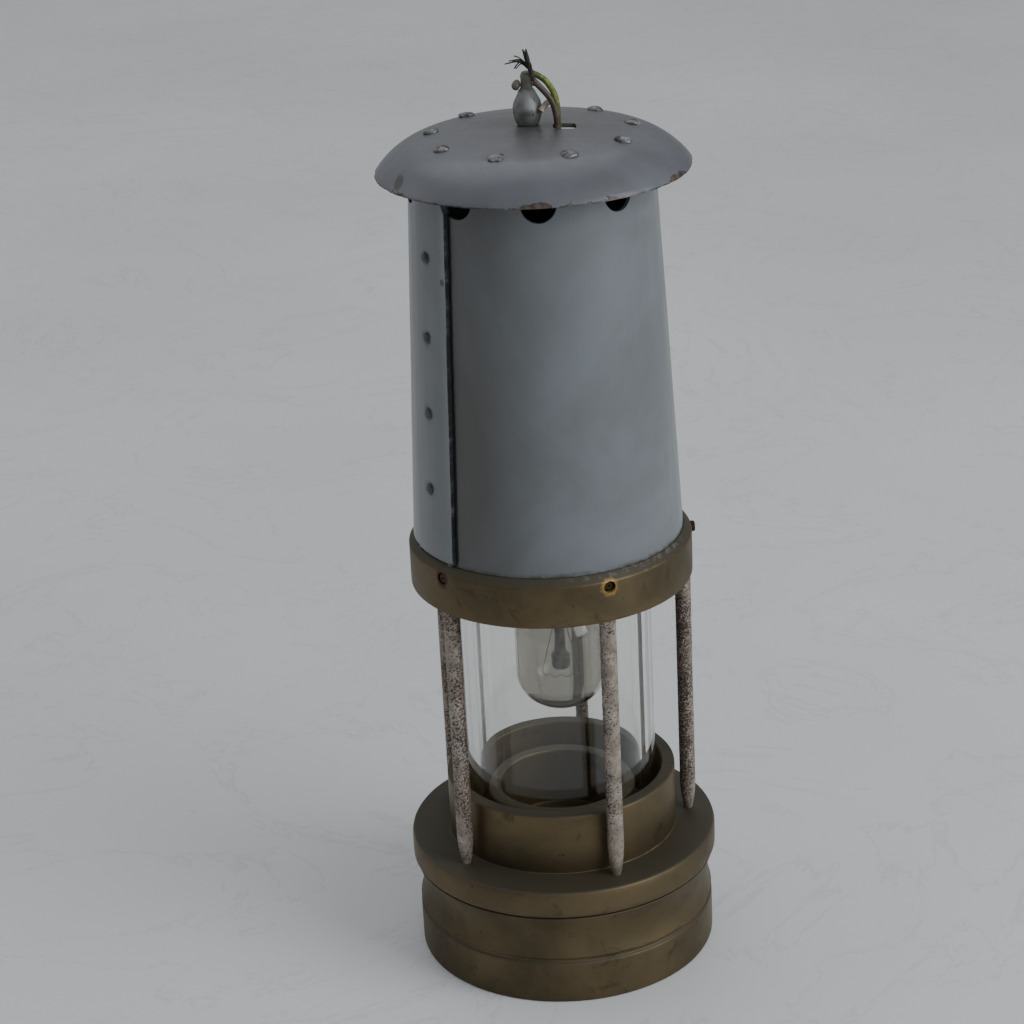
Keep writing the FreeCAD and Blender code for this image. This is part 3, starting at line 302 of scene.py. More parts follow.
def brass(name, dark=0.0, glint_edges=(), spots=(), paint_trace=None):
    """Old turned brass under a dull brown patina, dirty on top, with painted glints along a few edges on the side
    facing the window, smoother there as if rubbed.

    A glint edge or a trace of paint is (height, angle, half angle). A spot is (angle, radius, height, reach, colour).
    """
    f = Finish(name)
    cloudy = f.noise(30, 5, 0.58, warp=0.6)
    drift = f.noise(1.0, 4, 0.55, f.polar(1.2, 40, 3.1))
    turned_marks = f.noise(1.0, 3, 0.5, f.polar(0.5, 2600, 9.0))
    grime = f.noise(130, 5, 0.65, warp=0.8)
    tone = f.math("ADD", f.math("MULTIPLY", cloudy, 0.6), f.math("MULTIPLY", drift, 0.4))
    tone = f.math("SUBTRACT", tone, dark)
    colour = f.mix(f.ease(tone, 0.34, 0.68), srgb(80, 71, 54), srgb(111, 97, 72))
    colour = f.mix(f.math("MULTIPLY", f.ease(grime, 0.56, 0.74), 0.7), colour, srgb(66, 58, 48))
    fleck = f.ease(f.noise(560, 2, 0.5), 0.71, 0.78)
    colour = f.mix(f.math("MULTIPLY", fleck, 0.6), colour, srgb(38, 32, 27))
    rough = f.blend(f.ease(tone, 0.34, 0.70), 0.58, 0.44)
    top = upward(f)
    colour = f.mix(f.math("MULTIPLY", top, 0.86), colour, srgb(62, 59, 48))
    rough = f.blend(top, rough, 0.62)
    metal = f.blend(top, 0.86, 0.25)
    z, angle = f.height(), f.angle()
    broken = f.ease(f.noise(1.0, 4, 0.6, f.polar(9.0, 300, 1.0)), 0.46, 0.60)
    # Painted highlight: each glint edge lays bright brass colour along the lit side of an edge, with lower roughness
    # there as of rubbing.
    for height, middle, half in glint_edges:
        band = f.math("MULTIPLY", f.near(z, height, 0.08, 0.34), f.near(angle, middle, half * 0.5, half))
        band = f.math("MULTIPLY", band, f.math("SUBTRACT", 1.0, top))
        wear_and_painted_light = f.math("MULTIPLY", band, broken)
        colour = f.mix(f.math("MULTIPLY", wear_and_painted_light, 0.75), colour, srgb(186, 154, 92))
        rough = f.blend(wear_and_painted_light, rough, 0.34)
    for turn, radius, height, reach_mm, shade_colour in spots:
        place = around(turn, radius, height) * MM
        gap = f.add("ShaderNodeVectorMath", {0: f.place, 1: tuple(place)}, operation="DISTANCE").outputs["Value"]
        ragged = f.math("MULTIPLY_ADD", f.noise(900, 3, 0.6), 0.9 * reach_mm * MM)
        ragged.node.inputs[2].default_value = -0.45 * reach_mm * MM
        inside = f.ease(f.math("ADD", gap, ragged), reach_mm * MM, reach_mm * MM * 0.72)
        colour = f.mix(f.math("MULTIPLY", inside, 0.85), colour, srgb(*shade_colour))
    relief = f.math("ADD", f.math("MULTIPLY", turned_marks, 0.25), f.math("MULTIPLY", f.noise(900, 3, 0.6), 0.5))
    if paint_trace:
        height, middle, half = paint_trace
        edge = f.math("MULTIPLY", f.near(z, height, 0.3, 0.9), f.near(angle, middle, half * 0.7, half))
        trace = f.math("MULTIPLY", edge, f.ease(f.noise(1.0, 5, 0.7, f.polar(14.0, 500, 6.0)), 0.50, 0.58))
        colour = f.mix(f.math("MULTIPLY", trace, 0.5), colour, srgb(104, 104, 98))
        metal = f.blend(trace, metal, 0.1)
    f.set(Base_Color=colour, Roughness=rough, Metallic=metal, Normal=f.bump(relief, 0.00004))
    return f.material


def brushed_paint(name, base, lighter):
    """The ground of both painted sheets: satin paint brushed on by hand, uneven and a little soiled."""
    f = Finish(name, Metallic=0.0, Coat_Weight=0.55, Coat_Roughness=0.26)
    cloudy = f.noise(24, 5, 0.6, warp=0.5)
    strokes = f.noise(1.0, 4, 0.6, f.stretched(260, 260, 22))
    fine = f.noise(1500, 2, 0.5)
    colour = f.mix(f.ease(cloudy, 0.32, 0.70), base, lighter)
    dirt = f.ease(f.noise(60, 6, 0.7, warp=1.2), 0.54, 0.80)
    colour = f.mix(f.math("MULTIPLY", dirt, 0.30), colour, srgb(86, 82, 76))
    rough = f.blend(f.ease(strokes, 0.3, 0.7), 0.40, 0.52)
    relief = f.math("ADD", f.math("MULTIPLY", strokes, 0.6), f.math("MULTIPLY", fine, 0.18))
    return f, colour, rough, relief


def rust_colour(f):
    return f.mix(f.ease(f.noise(420, 3, 0.6), 0.42, 0.60), srgb(34, 28, 25), srgb(82, 68, 56))


def bonnet_paint(name):
    """Blue-grey paint, dirty where it meets the ring, black in the open lap seam from grime and a painted gap shadow,
    with a painted dark reflection right of the seam and painted shade left of it.
    """
    f, colour, rough, relief = brushed_paint(name, srgb(95, 99, 102), srgb(109, 114, 119))
    z, angle = f.height(), f.angle()
    scuff = f.ease(f.noise(1.0, 5, 0.7, f.polar(9.0, 300, 5.0)), 0.36, 0.62)
    at_foot = f.math("MULTIPLY", f.near(z, UPPER_RING_TOP_Z, 0.25, 1.7), scuff)
    # Grime and painted gap shadow: the under sheet just beside the lifted free edge is painted near black.
    ragged = f.math("MULTIPLY", f.math("SUBTRACT", f.noise(1.0, 4, 0.7, f.stretched(60, 60, 260)), 0.5), 1.6)
    seam_grime_and_gap_shadow = f.near(f.math("ADD", angle, ragged), LAP_EDGE + 0.75, 0.70, 1.15)
    # Painted dark reflection: a band right of the lap seam is painted darker and browner, uneven in strength.
    cloud = f.ease(f.noise(1.0, 3, 0.5, f.stretched(40, 40, 14, 0.3)), 0.30, 0.62)
    dark_reflection_band = f.math("MULTIPLY", f.ease(angle, LAP_EDGE, LAP_EDGE + 1.0), f.ease(angle, 6.0, -34.0))
    dark_reflection_band = f.math("MULTIPLY", dark_reflection_band, f.blend(cloud, 0.42, 0.66))
    colour = f.mix(dark_reflection_band, colour, srgb(62, 56, 48))
    # Painted shade: the sheet left of the seam is toned a little darker.
    left_side_shade = f.math("MULTIPLY", f.ease(angle, LAP_EDGE - 1.0, LAP_EDGE - 14.0), 0.20)
    colour = f.mix(left_side_shade, colour, srgb(70, 74, 76))
    mark = around(LAP_EDGE - 2.4, BONNET_TOP_R + 2.0, 217.0) * MM
    gap = f.add("ShaderNodeVectorMath", {0: f.place, 1: tuple(mark)}, operation="DISTANCE").outputs["Value"]
    colour = f.mix(f.ease(gap, 0.0013, 0.0008), colour, srgb(44, 42, 40))
    colour = f.mix(f.math("MULTIPLY", at_foot, 0.85), colour, srgb(58, 54, 48))
    colour = f.mix(f.math("MULTIPLY", seam_grime_and_gap_shadow, 0.94), colour, srgb(24, 23, 22))
    soil = None
    for height in SEAM_RIVET_Z:
        for shift, reach_mm in ((0.0, 3.4), (-2.2, 2.4)):
            spot = around(SEAM_RIVET_ANGLE + shift, BONNET_TOP_R + 1.0 + (CAP_RIM_Z - height) * 0.0455, height) * MM
            gap = f.add("ShaderNodeVectorMath", {0: f.place, 1: tuple(spot)}, operation="DISTANCE").outputs["Value"]
            blot = f.ease(gap, reach_mm * MM, reach_mm * MM * 0.3)
            soil = blot if soil is None else f.math("MAXIMUM", soil, blot)
    soil = f.math("MULTIPLY", soil, f.ease(f.noise(330, 4, 0.65), 0.34, 0.62))
    colour = f.mix(f.math("MULTIPLY", soil, 0.88), colour, srgb(42, 41, 40))
    specks = f.ease(f.noise(260, 3, 0.6, warp=0.5), 0.775, 0.80)
    colour = f.mix(specks, colour, rust_colour(f))
    rough = f.blend(specks, rough, 0.75)
    f.set(Base_Color=colour, Roughness=rough, Normal=f.bump(relief, 0.00009))
    return f.material


def cap_paint(name):
    """The same paint, darker, chipped to dark rust along the rim and brown with dirt round the swivel."""
    f, colour, rough, relief = brushed_paint(name, srgb(84, 85, 90), srgb(99, 101, 108))
    z, angle, radius = f.height(), f.angle(), f.radius()
    grime = f.ease(f.noise(130, 5, 0.62, warp=0.8), 0.36, 0.66)
    crown = f.math("MULTIPLY", f.near(radius, 0.0, 12.0, 40.0), 0.40)
    colour = f.mix(crown, colour, srgb(76, 73, 68))
    stain = f.math("MULTIPLY", f.near(radius, 0.0, 4.0, 22.0), grime)
    colour = f.mix(f.math("MULTIPLY", stain, 0.70), colour, srgb(70, 62, 52))
    wear = f.noise(120, 5, 0.70, f.stretched(1, 1, 1.9, 2.0), warp=0.8)
    low_down = f.ease(z, CAP_RIM_Z + 2.6, CAP_RIM_Z + 0.1)
    chipped = None
    for middle, half, depth in ((0.0, 9.0, 0.50), (20.0, 30.0, 0.32), (63.0, 10.0, 0.50), (-52.0, 22.0, 0.27),
                                (-30.0, 14.0, 0.24), (92.0, 26.0, 0.24), (150.0, 40.0, 0.24), (-130.0, 46.0, 0.24)):
        here = f.math("MULTIPLY", f.near(angle, middle, half * 0.4, half), depth)
        reach_up = f.math("ADD", wear, f.math("MULTIPLY", here, low_down))
        patch = f.ease(reach_up, 0.77, 0.80)
        chipped = patch if chipped is None else f.math("MAXIMUM", chipped, patch)
    thin_line = f.math("MULTIPLY", f.near(z, CAP_RIM_Z, 0.15, 0.5), f.ease(f.noise(260, 4, 0.7), 0.40, 0.48))
    chipped = f.math("MAXIMUM", chipped, thin_line)
    scrape = around(-60.0, 42.2, CAP_RIM_Z + 3.9) * MM
    away = f.add("ShaderNodeVectorMath", {0: f.place, 1: tuple(scrape)}, operation="SUBTRACT").outputs[0]
    narrow = f.add("ShaderNodeVectorMath", {0: away, 1: (1.3, 0.8, 0.50)}, operation="MULTIPLY").outputs[0]
    size = f.add("ShaderNodeVectorMath", {0: narrow}, operation="LENGTH").outputs["Value"]
    ragged = f.math("MULTIPLY", f.math("SUBTRACT", f.noise(520, 4, 0.65), 0.5), 0.0022)
    gouge = f.math("MULTIPLY", f.ease(f.math("ADD", size, ragged), 0.0024, 0.0016), 0.85)
    colour = f.mix(gouge, colour, srgb(46, 40, 36))
    specks = f.ease(f.noise(230, 3, 0.6, warp=0.5), 0.735, 0.76)
    bare = f.math("MAXIMUM", chipped, specks)
    colour = f.mix(bare, colour, rust_colour(f))
    rough = f.blend(bare, rough, 0.78)
    relief = f.math("SUBTRACT", relief, f.math("MULTIPLY", bare, 1.4))
    f.set(Base_Color=colour, Roughness=rough, Normal=f.bump(relief, 0.00009))
    return f.material


def pitted_steel(name):
    """Plated rod whose plating has blistered: the rust attribute is where it has gone, and on each rod's inner side it
    also carries painted shade.
    """
    f = Finish(name)
    rust = attribute(f, "rust")
    grain = f.noise(1300, 3, 0.6)
    specks = f.noise(1900, 4, 0.72, warp=0.6)
    level = f.math("ADD", f.math("MULTIPLY", rust, 0.55), f.math("MULTIPLY", f.math("SUBTRACT", specks, 0.5), 2.6))
    gone = f.ease(level, 0.16, 0.58)
    drift = f.noise(60, 3, 0.6)
    plate = f.mix(f.ease(f.noise(240, 4, 0.6), 0.35, 0.7), srgb(136, 124, 113), srgb(172, 162, 150))
    bloom = f.mix(f.ease(drift, 0.40, 0.62), srgb(58, 43, 38), srgb(98, 80, 66))
    bloom = f.mix(f.ease(grain, 0.42, 0.60), bloom, srgb(44, 34, 30))
    colour = f.mix(gone, plate, bloom)
    rough = f.blend(gone, 0.46, 0.82)
    metal = f.blend(gone, 0.35, 0.0)
    f.set(Base_Color=colour, Roughness=rough, Metallic=metal, Normal=f.bump(grain, 0.00008))
    return f.material


def plain_metal(name, dark, light, metal, rough_low, rough_high, grain_scale=700, rust=0.0):
    """Worn metal whose tone, gloss and grain vary."""
    f = Finish(name, Metallic=metal)
    cloudy = f.noise(150, 5, 0.6, warp=0.6)
    grain = f.noise(grain_scale, 4, 0.6)
    colour = f.mix(f.ease(cloudy, 0.35, 0.66), dark, light)
    if rust:
        spots = f.ease(f.noise(420, 5, 0.7, warp=0.5), 1.0 - rust, 1.06 - rust)
        colour = f.mix(spots, colour, srgb(66, 44, 34))
    rough = f.blend(f.ease(cloudy, 0.3, 0.7), rough_low, rough_high)
    f.set(Base_Color=colour, Roughness=rough, Normal=f.bump(grain, 0.00005))
    return f.material


def plastic(name, dark, light, rough_low, rough_high, scale=300):
    """Moulded or extruded plastic and rubber, a little soiled."""
    f = Finish(name, Metallic=0.0)
    cloudy = f.noise(scale, 5, 0.6, warp=0.4)
    colour = f.mix(f.ease(cloudy, 0.36, 0.66), dark, light)
    rough = f.blend(f.ease(cloudy, 0.3, 0.7), rough_low, rough_high)
    f.set(Base_Color=colour, Roughness=rough, Normal=f.bump(f.noise(2600, 2, 0.5), 0.00003))
    return f.material


def earth_plastic(name):
    """Green sleeve with yellow along part of it, dulled by dirt."""
    f = Finish(name, Metallic=0.0)
    patch = f.noise(1.0, 3, 0.5, f.stretched(330, 330, 210, 0.4))
    colour = f.mix(f.ease(patch, 0.47, 0.56), srgb(78, 92, 36), srgb(126, 138, 46))
    soil = f.ease(f.noise(520, 5, 0.6), 0.46, 0.72)
    colour = f.mix(f.math("MULTIPLY", soil, 0.45), colour, srgb(56, 52, 38))
    f.set(Base_Color=colour, Roughness=f.blend(soil, 0.38, 0.66), Normal=f.bump(f.noise(2600, 2, 0.5), 0.00003))
    return f.material


def clear(name, tint, smear):
    """Glass that lets lamps through, with faint smears that scatter a little."""
    f = Finish(name, Base_Color=tint, Transmission_Weight=1.0, IOR=1.46)
    marks = f.ease(f.noise(110, 6, 0.68, f.stretched(1, 1, 0.35), warp=1.0), 0.52, 0.80)
    f.set(Roughness=f.blend(marks, 0.0, smear), Normal=f.bump(f.noise(24, 2, 0.4), 0.00016))
    path = f.add("ShaderNodeLightPath")
    passing = f.math("MAXIMUM", path.outputs["Is Shadow Ray"], path.outputs["Is Diffuse Ray"])
    through = f.add("ShaderNodeBsdfTransparent", {"Color": tint})
    both = f.add("ShaderNodeMixShader", {0: passing, 1: f.shader.outputs[0], 2: through.outputs[0]})
    out = next(n for n in f.tree.nodes if n.type == "OUTPUT_MATERIAL")
    f.tree.links.new(both.outputs[0], out.inputs["Surface"])
    return f.material


def floor_finish(name):
    f = Finish(name, Specular_IOR_Level=0.3)
    veins = f.noise(9, 7, 0.62, warp=1.6)
    cloudy = f.noise(2.6, 4, 0.5)
    colour = f.mix(f.ease(cloudy, 0.3, 0.7), srgb(218, 220, 220), srgb(227, 229, 230))
    colour = f.mix(f.math("MULTIPLY", f.near(veins, 0.5, 0.0, 0.012), 0.16), colour, srgb(150, 150, 152))
    f.set(Base_Color=colour, Roughness=f.blend(f.ease(cloudy, 0.3, 0.7), 0.42, 0.55))
    return f.material


BRASS_BASE = brass("vessel_brass", glint_edges=((BAND_H + 2.0, 42.0, 24.0),))
BRASS_RING = brass("lower_ring_brass", dark=-0.08, glint_edges=((FLANGE_Z + 0.1, 50.0, 22.0),))
BRASS_UPPER = brass(
    "upper_ring_brass", glint_edges=((UPPER_RING_TOP_Z - 1.9, 52.0, 18.0), (UPPER_RING_TOP_Z - 0.1, 44.0, 24.0)),
    spots=((PILLAR_FIRST, 41.2, SCREW_Z, 3.0, (158, 130, 76)), (PILLAR_FIRST - 72.0, 41.2, SCREW_Z, 3.0, (76, 52, 42))),
    paint_trace=(UPPER_RING_TOP_Z - 0.4, 40.0, 36.0))
BRASS_SEAT = brass("burner_seat_brass", dark=-0.30)
BONNET_PAINT = bonnet_paint("bonnet_paint")
CAP_PAINT = cap_paint("cap_paint")
RIVET_PAINT = plain_metal("rivet_paint", srgb(84, 82, 80), srgb(150, 150, 152), 0.35, 0.28, 0.46, 900, rust=0.47)
SEAM_RIVET_PAINT = plain_metal("seam_rivet_paint", srgb(50, 50, 50), srgb(84, 87, 90), 0.1, 0.45, 0.65, rust=0.46)
PILLAR_STEEL = pitted_steel("pitted_pillar_steel")
BOSS_METAL = plain_metal("boss_metal", srgb(92, 92, 88), srgb(138, 140, 138), 0.45, 0.34, 0.52, 800, rust=0.41)
STEM_METAL = plain_metal("stem_metal", srgb(92, 88, 80), srgb(128, 124, 114), 0.55, 0.42, 0.62, 900, rust=0.40)
HOLDER_BRASS = plain_metal("holder_brass", srgb(140, 112, 62), srgb(196, 164, 98), 1.0, 0.26, 0.45)
PLATE_STEEL = plain_metal("plate_steel", srgb(98, 100, 98), srgb(134, 136, 134), 0.8, 0.40, 0.60, rust=0.36)
DARK_SCREW = plain_metal("screw_metal", srgb(48, 38, 30), srgb(86, 70, 50), 0.9, 0.45, 0.65, rust=0.45)
TINNED = plain_metal("tinned_metal", srgb(150, 150, 146), srgb(186, 186, 180), 1.0, 0.30, 0.45)
COPPER = plain_metal("old_copper", srgb(34, 30, 28), srgb(72, 64, 58), 0.5, 0.45, 0.65, 2400)
TUNGSTEN = plain_metal("tungsten", srgb(70, 70, 72), srgb(104, 104, 108), 1.0, 0.35, 0.5, 2600)
RUBBER = plastic("seal_rubber", srgb(34, 33, 32), srgb(52, 50, 48), 0.6, 0.8)
MOULDING = plastic("moulded_block", srgb(38, 30, 26), srgb(56, 44, 36), 0.25, 0.42)
BROWN_PLASTIC = plastic("brown_sleeve", srgb(62, 50, 42), srgb(96, 80, 68), 0.38, 0.6, 420)
PALE_PLASTIC = plastic("pale_sleeve", srgb(140, 118, 104), srgb(204, 190, 172), 0.42, 0.6, 420)
EARTH_PLASTIC = earth_plastic("earth_sleeve")
CLEAR_GLASS = clear("chimney_glass", (0.97, 0.965, 0.94, 1), 0.16)
BULB_GLASS = clear("bulb_glass", (0.60, 0.58, 0.54, 1), 0.20)
STEM_GLASS = plastic("stem_glass", srgb(96, 94, 90), srgb(132, 130, 124), 0.2, 0.4)
FLOOR = floor_finish("pale_floor")


# ---- mesh helpers ----
def piece(name, points, faces, material, body, nodes, smooth_angle=32.0):
    """A mesh object from points in millimetres, riding on a body and standing for CAD nodes."""
    mesh = bpy.data.meshes.new(name)
    mesh.from_pydata([Vector(p) * MM for p in points], [], faces)
    mesh.validate()
    mesh.materials.append(material)
    obj = bpy.data.objects.new(name, mesh)
    bpy.context.scene.collection.objects.link(obj)
    shade(obj, smooth_angle)
    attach(obj, body)
    if nodes:
        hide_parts(*nodes)
    return obj


def shade(obj, smooth_angle):
    obj.data.shade_smooth()
    obj.data.set_sharp_from_angle(angle=math.radians(smooth_angle))


def rounded(outline, closed, arc_steps=5):
    """An (r, z, fillet) outline with its corners turned into short curves."""
    points = []
    count = len(outline)
    for k, (r, z, fillet) in enumerate(outline):
        corner = Vector((r, z))
        at_end = not closed and k in (0, count - 1)
        if fillet <= 0 or at_end:
            points.append(corner)
            continue
        before = Vector(outline[k - 1][:2]) - corner
        after = Vector(outline[(k + 1) % count][:2]) - corner
        cut = min(fillet, before.length * 0.45, after.length * 0.45)
        start = corner + before.normalized() * cut
        end = corner + after.normalized() * cut
        for j in range(arc_steps + 1):
            t = j / arc_steps
            points.append(start * (1 - t) ** 2 + corner * 2 * t * (1 - t) + end * t ** 2)
    return points


def divided(points, longest, closed):
    """The same line with no run longer than this."""
    pairs = list(zip(points, points[1:] + points[:1])) if closed else list(zip(points, points[1:]))
    fine = []
    for here, there in pairs:
        parts = max(1, math.ceil((there - here).length / longest))
        fine += [here.lerp(there, k / parts) for k in range(parts)]
    if not closed:
        fine.append(points[-1])
    return fine


def turned_mesh(outline, steps, longest, closed=True, x=0.0, y=0.0, relief=None, arc_steps=5):
    """Points and faces of an outline turned about a vertical axis. A line that isn't closed starts and ends on it."""
    line = divided(rounded(outline, closed, arc_steps), longest, closed)
    points, rings = [], []
    for spot in line:
        r, z = spot
        if r < 1e-6:
            rings.append([len(points)] * steps)
            points.append((x, y, z))
            continue
        rings.append(list(range(len(points), len(points) + steps)))
        for k in range(steps):
            turn = 2 * math.pi * k / steps
            push = relief(r, turn, z) if relief else 0.0
            points.append((x + (r + push) * math.cos(turn), y + (r + push) * math.sin(turn), z))
    faces = []
    pairs = list(zip(rings, rings[1:] + rings[:1])) if closed else list(zip(rings, rings[1:]))
    for low, high in pairs:
        for k in range(steps):
            j = (k + 1) % steps
            corners = [low[k], low[j], high[j], high[k]]
            corners = [c for i, c in enumerate(corners) if c not in corners[:i]]
            if len(corners) > 2:
                faces.append(corners)
    return points, faces


def turned(name, outline, material, body, slot, nodes, steps=192, longest=1.2, **options):
    points, faces = turned_mesh(outline, steps, longest, **options)
    return piece(name, points, faces, material, body, nodes)


def joined(parts):
    """Several (points, faces) as one."""
    points, faces = [], []
    for more_points, more_faces in parts:
        start = len(points)
        points += more_points
        faces += [[i + start for i in face] for face in more_faces]
    return points, faces


def cut_by(obj, cutter_parts):
    """Takes the cutters' space out of obj, for good."""
    mesh = bpy.data.meshes.new("cutter")
    points, faces = joined(cutter_parts)
    mesh.from_pydata([Vector(p) * MM for p in points], [], faces)
    cutter = bpy.data.objects.new("cutter", mesh)
    bpy.context.scene.collection.objects.link(cutter)
    modifier = obj.modifiers.new("cut", "BOOLEAN")
    modifier.operation = "DIFFERENCE"
    modifier.solver = "EXACT"
    modifier.object = cutter
    bpy.context.view_layer.update()
    made = bpy.data.meshes.new_from_object(obj.evaluated_get(bpy.context.evaluated_depsgraph_get()))
    obj.modifiers.clear()
    obj.data = made
    bpy.data.objects.remove(cutter)
    shade(obj, 32.0)


def rod(start, end, radius, steps=24):
    """Points and faces of a plain round cutter."""
    axis = (end - start).normalized()
    side = axis.orthogonal().normalized()
    other = axis.cross(side)
    points = []
    for centre in (start, end):
        for k in range(steps):
            turn = 2 * math.pi * k / steps
            points.append(centre + (side * math.cos(turn) + other * math.sin(turn)) * radius)
    faces = [[k, (k + 1) % steps, steps + (k + 1) % steps, steps + k] for k in range(steps)]
    faces += [list(range(steps))[::-1], list(range(steps, 2 * steps))]
    return points, faces


def soft_relief(amount, coarse, shift):
    """Slight unevenness of turned or pressed metal: amount in millimetres, coarse is the size of the waves."""
    def relief(r, turn, z):
        spot = Vector((r * math.cos(turn) / coarse, r * math.sin(turn) / coarse, z / coarse + shift))
        return amount * noise.noise(spot)
    return relief


# ---- the flex ----
def cord_curve(name, route, material, nodes):
    curve = bpy.data.curves.new(name, "CURVE")
    curve.dimensions = "3D"
    spline = curve.splines.new("NURBS")
    spline.points.add(len(route) - 1)
    for point, place in zip(spline.points, route):
        point.co = (*place, 1.0)
    spline.order_u = 3
    spline.use_endpoint_u = True
    spline.resolution_u = 14
    curve.bevel_depth = WIRE_D / 2
    curve.bevel_resolution = 6
    curve.use_fill_caps = True
    curve.materials.append(material)
    obj = bpy.data.objects.new(name, curve)
    bpy.context.scene.collection.objects.link(obj)
    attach(obj, "frame")
    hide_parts(*nodes)
    return obj


def quadratic(points, t):
    """A smooth place along a chain of points, t from 0 to 1."""
    count = len(points) - 2
    at = min(t * count, count - 1e-6)
    k = int(at)
    u = at - k
    a = points[0] if k == 0 else (points[k] + points[k + 1]) / 2
    c = points[-1] if k == count - 1 else (points[k + 1] + points[k + 2]) / 2
    return a * (1 - u) ** 2 + points[k + 1] * 2 * u * (1 - u) + c * u ** 2


def strands(name, route, node, count, thickness, bundle, fray, twist, seed):
    """Bare wires that leave a sleeve twisted together and come apart towards their tips."""
    draw = random.Random(seed)
    line = [Vector(p) for p in route]
    curve = bpy.data.curves.new(name, "CURVE")
    curve.dimensions = "3D"
    for k in range(count):
        turn = 2 * math.pi * k / count + draw.uniform(-0.2, 0.2)
        out = bundle * (0.25 if k == 0 else draw.uniform(0.75, 1.0))
        spread = Vector((draw.uniform(-1, 1), draw.uniform(-1, 1), draw.uniform(-1, 1))) * fray
        reach_share = draw.uniform(0.86, 1.0)
        spline = curve.splines.new("NURBS")
        steps = 12
        spline.points.add(steps - 1)
        for j in range(steps):
            t = j / (steps - 1) * reach_share
            here = quadratic(line, t)
            ahead = quadratic(line, min(1.0, t + 0.02)) - quadratic(line, max(0.0, t - 0.02))
            side = ahead.cross(Vector((0.3, 1, 0.2))).normalized()
            other = ahead.cross(side).normalized()
            a = turn + twist * t
            place = here + (side * math.cos(a) + other * math.sin(a)) * out + spread * t ** 3
            spline.points[j].co = (*place, 1.0)
        spline.order_u = 4
        spline.use_endpoint_u = True
        spline.resolution_u = 6
    curve.bevel_depth = thickness / 2
    curve.bevel_resolution = 3
    curve.use_fill_caps = True
    curve.materials.append(COPPER)
    obj = bpy.data.objects.new(name, curve)
    bpy.context.scene.collection.objects.link(obj)
    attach(obj, "frame")
    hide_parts(node)
    return obj


def make_flex():
    brown_route, earth_route = route(BROWN_INSIDE, BROWN_OUTSIDE), route(EARTH_INSIDE, EARTH_OUTSIDE)
    pale_route = route(PALE_INSIDE, PALE_OUTSIDE)
    brown_end = strands("brown_bare_strands", route([], BROWN_STRANDS), "brown_strands", 12, 0.00044, 0.00050, 0.0003,
                        6.0, 4)
    earth_end = strands("earth_bare_strands", route([], EARTH_STRANDS), "earth_strands", 10, 0.00034, 0.00046, 0.0022,
                        3.0, 11)
    brown = cord_curve("brown_core", brown_route, BROWN_PLASTIC, ["brown_wire"])
    earth = cord_curve("earth_core", earth_route, EARTH_PLASTIC, ["earth_wire"])
    pale = cord_curve("pale_core", pale_route, PALE_PLASTIC, ["pale_wire"])


# ---- base ----
def make_vessel():
    flank = [(WAIST_R + 0.029 * (z - WAIST_Z) ** 2, z, 0.0) for z in (15.6, 17, 18.5, 20, 21.5, 23, 24.5, 26, 27.4)]
    outline = [
        (41.4, 0, 0.2), (BAND_R, 0, 0.8), (BAND_R, BAND_H, 0.5), (BAND_R - 0.7, BAND_H + 0.6, 0.25),
        (BAND_R - 0.7, BAND_H + 1.5, 0.25), (BAND_R, BAND_H + 2.1, 0.35), *flank, (VESSEL_TOP_R, SHOULDER_Z, 0.5),
        (38.2, SHOULDER_Z, 0.1), (38.2, SHOULDER_Z - 0.9, 0.1), (32.8, SHOULDER_Z - 0.9, 0.1),
        (32.8, SHOULDER_Z, 0.1), (THREAD_R, SHOULDER_Z, 0.2),
    ]
    threads = 4
    for k in range(threads):
        z = SHOULDER_Z + 0.7 + 1.5 * k
        outline += [(THREAD_R - 0.55, z, 0.15), (THREAD_R, z + 0.75, 0.15)]
    outline += [
        (THREAD_R - 0.5, SHOULDER_Z + 7.3, 0.2), (THREAD_R - NECK_WALL, SHOULDER_Z + 7.3, 0.2),
        (THREAD_R - NECK_WALL, SHOULDER_Z - 2.4, 0.3), (40.5, SHOULDER_Z - 2.4, 1.5), (40.5, 2.6, 0.4),
        (41.4, 2.6, 0.2),
    ]
    turned("vessel_body", outline, BRASS_BASE, "vessel", "aged_brass", ["oil_vessel"], steps=256,
           relief=soft_relief(0.07, 14, 2.0))


def make_burner_seat():
    web_top = SEAT_Z + 3.0
    outline = [
        (8.5, SEAT_Z, 0.2), (26.4, SEAT_Z, 0.2), (26.4, web_top, 0.3), (22.2, web_top, 0.4),
        (22.2, SEAT_TOP_Z, 0.9), (18.6, SEAT_TOP_Z, 0.7), (18.6, web_top, 0.5), (8.5, web_top, 0.4),
    ]
    turned("burner_ring", outline, BRASS_SEAT, "vessel", "aged_brass", ["burner_seat"], steps=192,
           relief=soft_relief(0.05, 9, 5.0))


def make_lower_ring():
    belly = [(RING_R - 0.0042 * abs(z - RING_Z - 3.8) ** 2.2, z, 0.0) for z in (30.2, 31.5, 33, 34.5, 36)]
    bore_r = THREAD_R + 0.1
    outline = [
        (bore_r, RING_Z, 0.2), (45.4, RING_Z, 0.5), *belly, (RING_R - 0.45, FLANGE_Z, 0.9),
        (COLLAR_R + 0.2, FLANGE_Z, 0.3), (COLLAR_R, FLANGE_Z + 0.2, 0.2), (COLLAR_R, COLLAR_TOP_Z, 0.9),
        (COLLAR_INNER_R, COLLAR_TOP_Z, 0.6), (COLLAR_INNER_R, 42, 0.4), (LEDGE_R, 42, 0.4), (LEDGE_R, 38, 0.3),
        (bore_r, 38, 0.2),
    ]
    turned("flange_ring", outline, BRASS_RING, "frame", "aged_brass", ["lower_ring"], steps=256,
           relief=soft_relief(0.08, 12, 7.0))


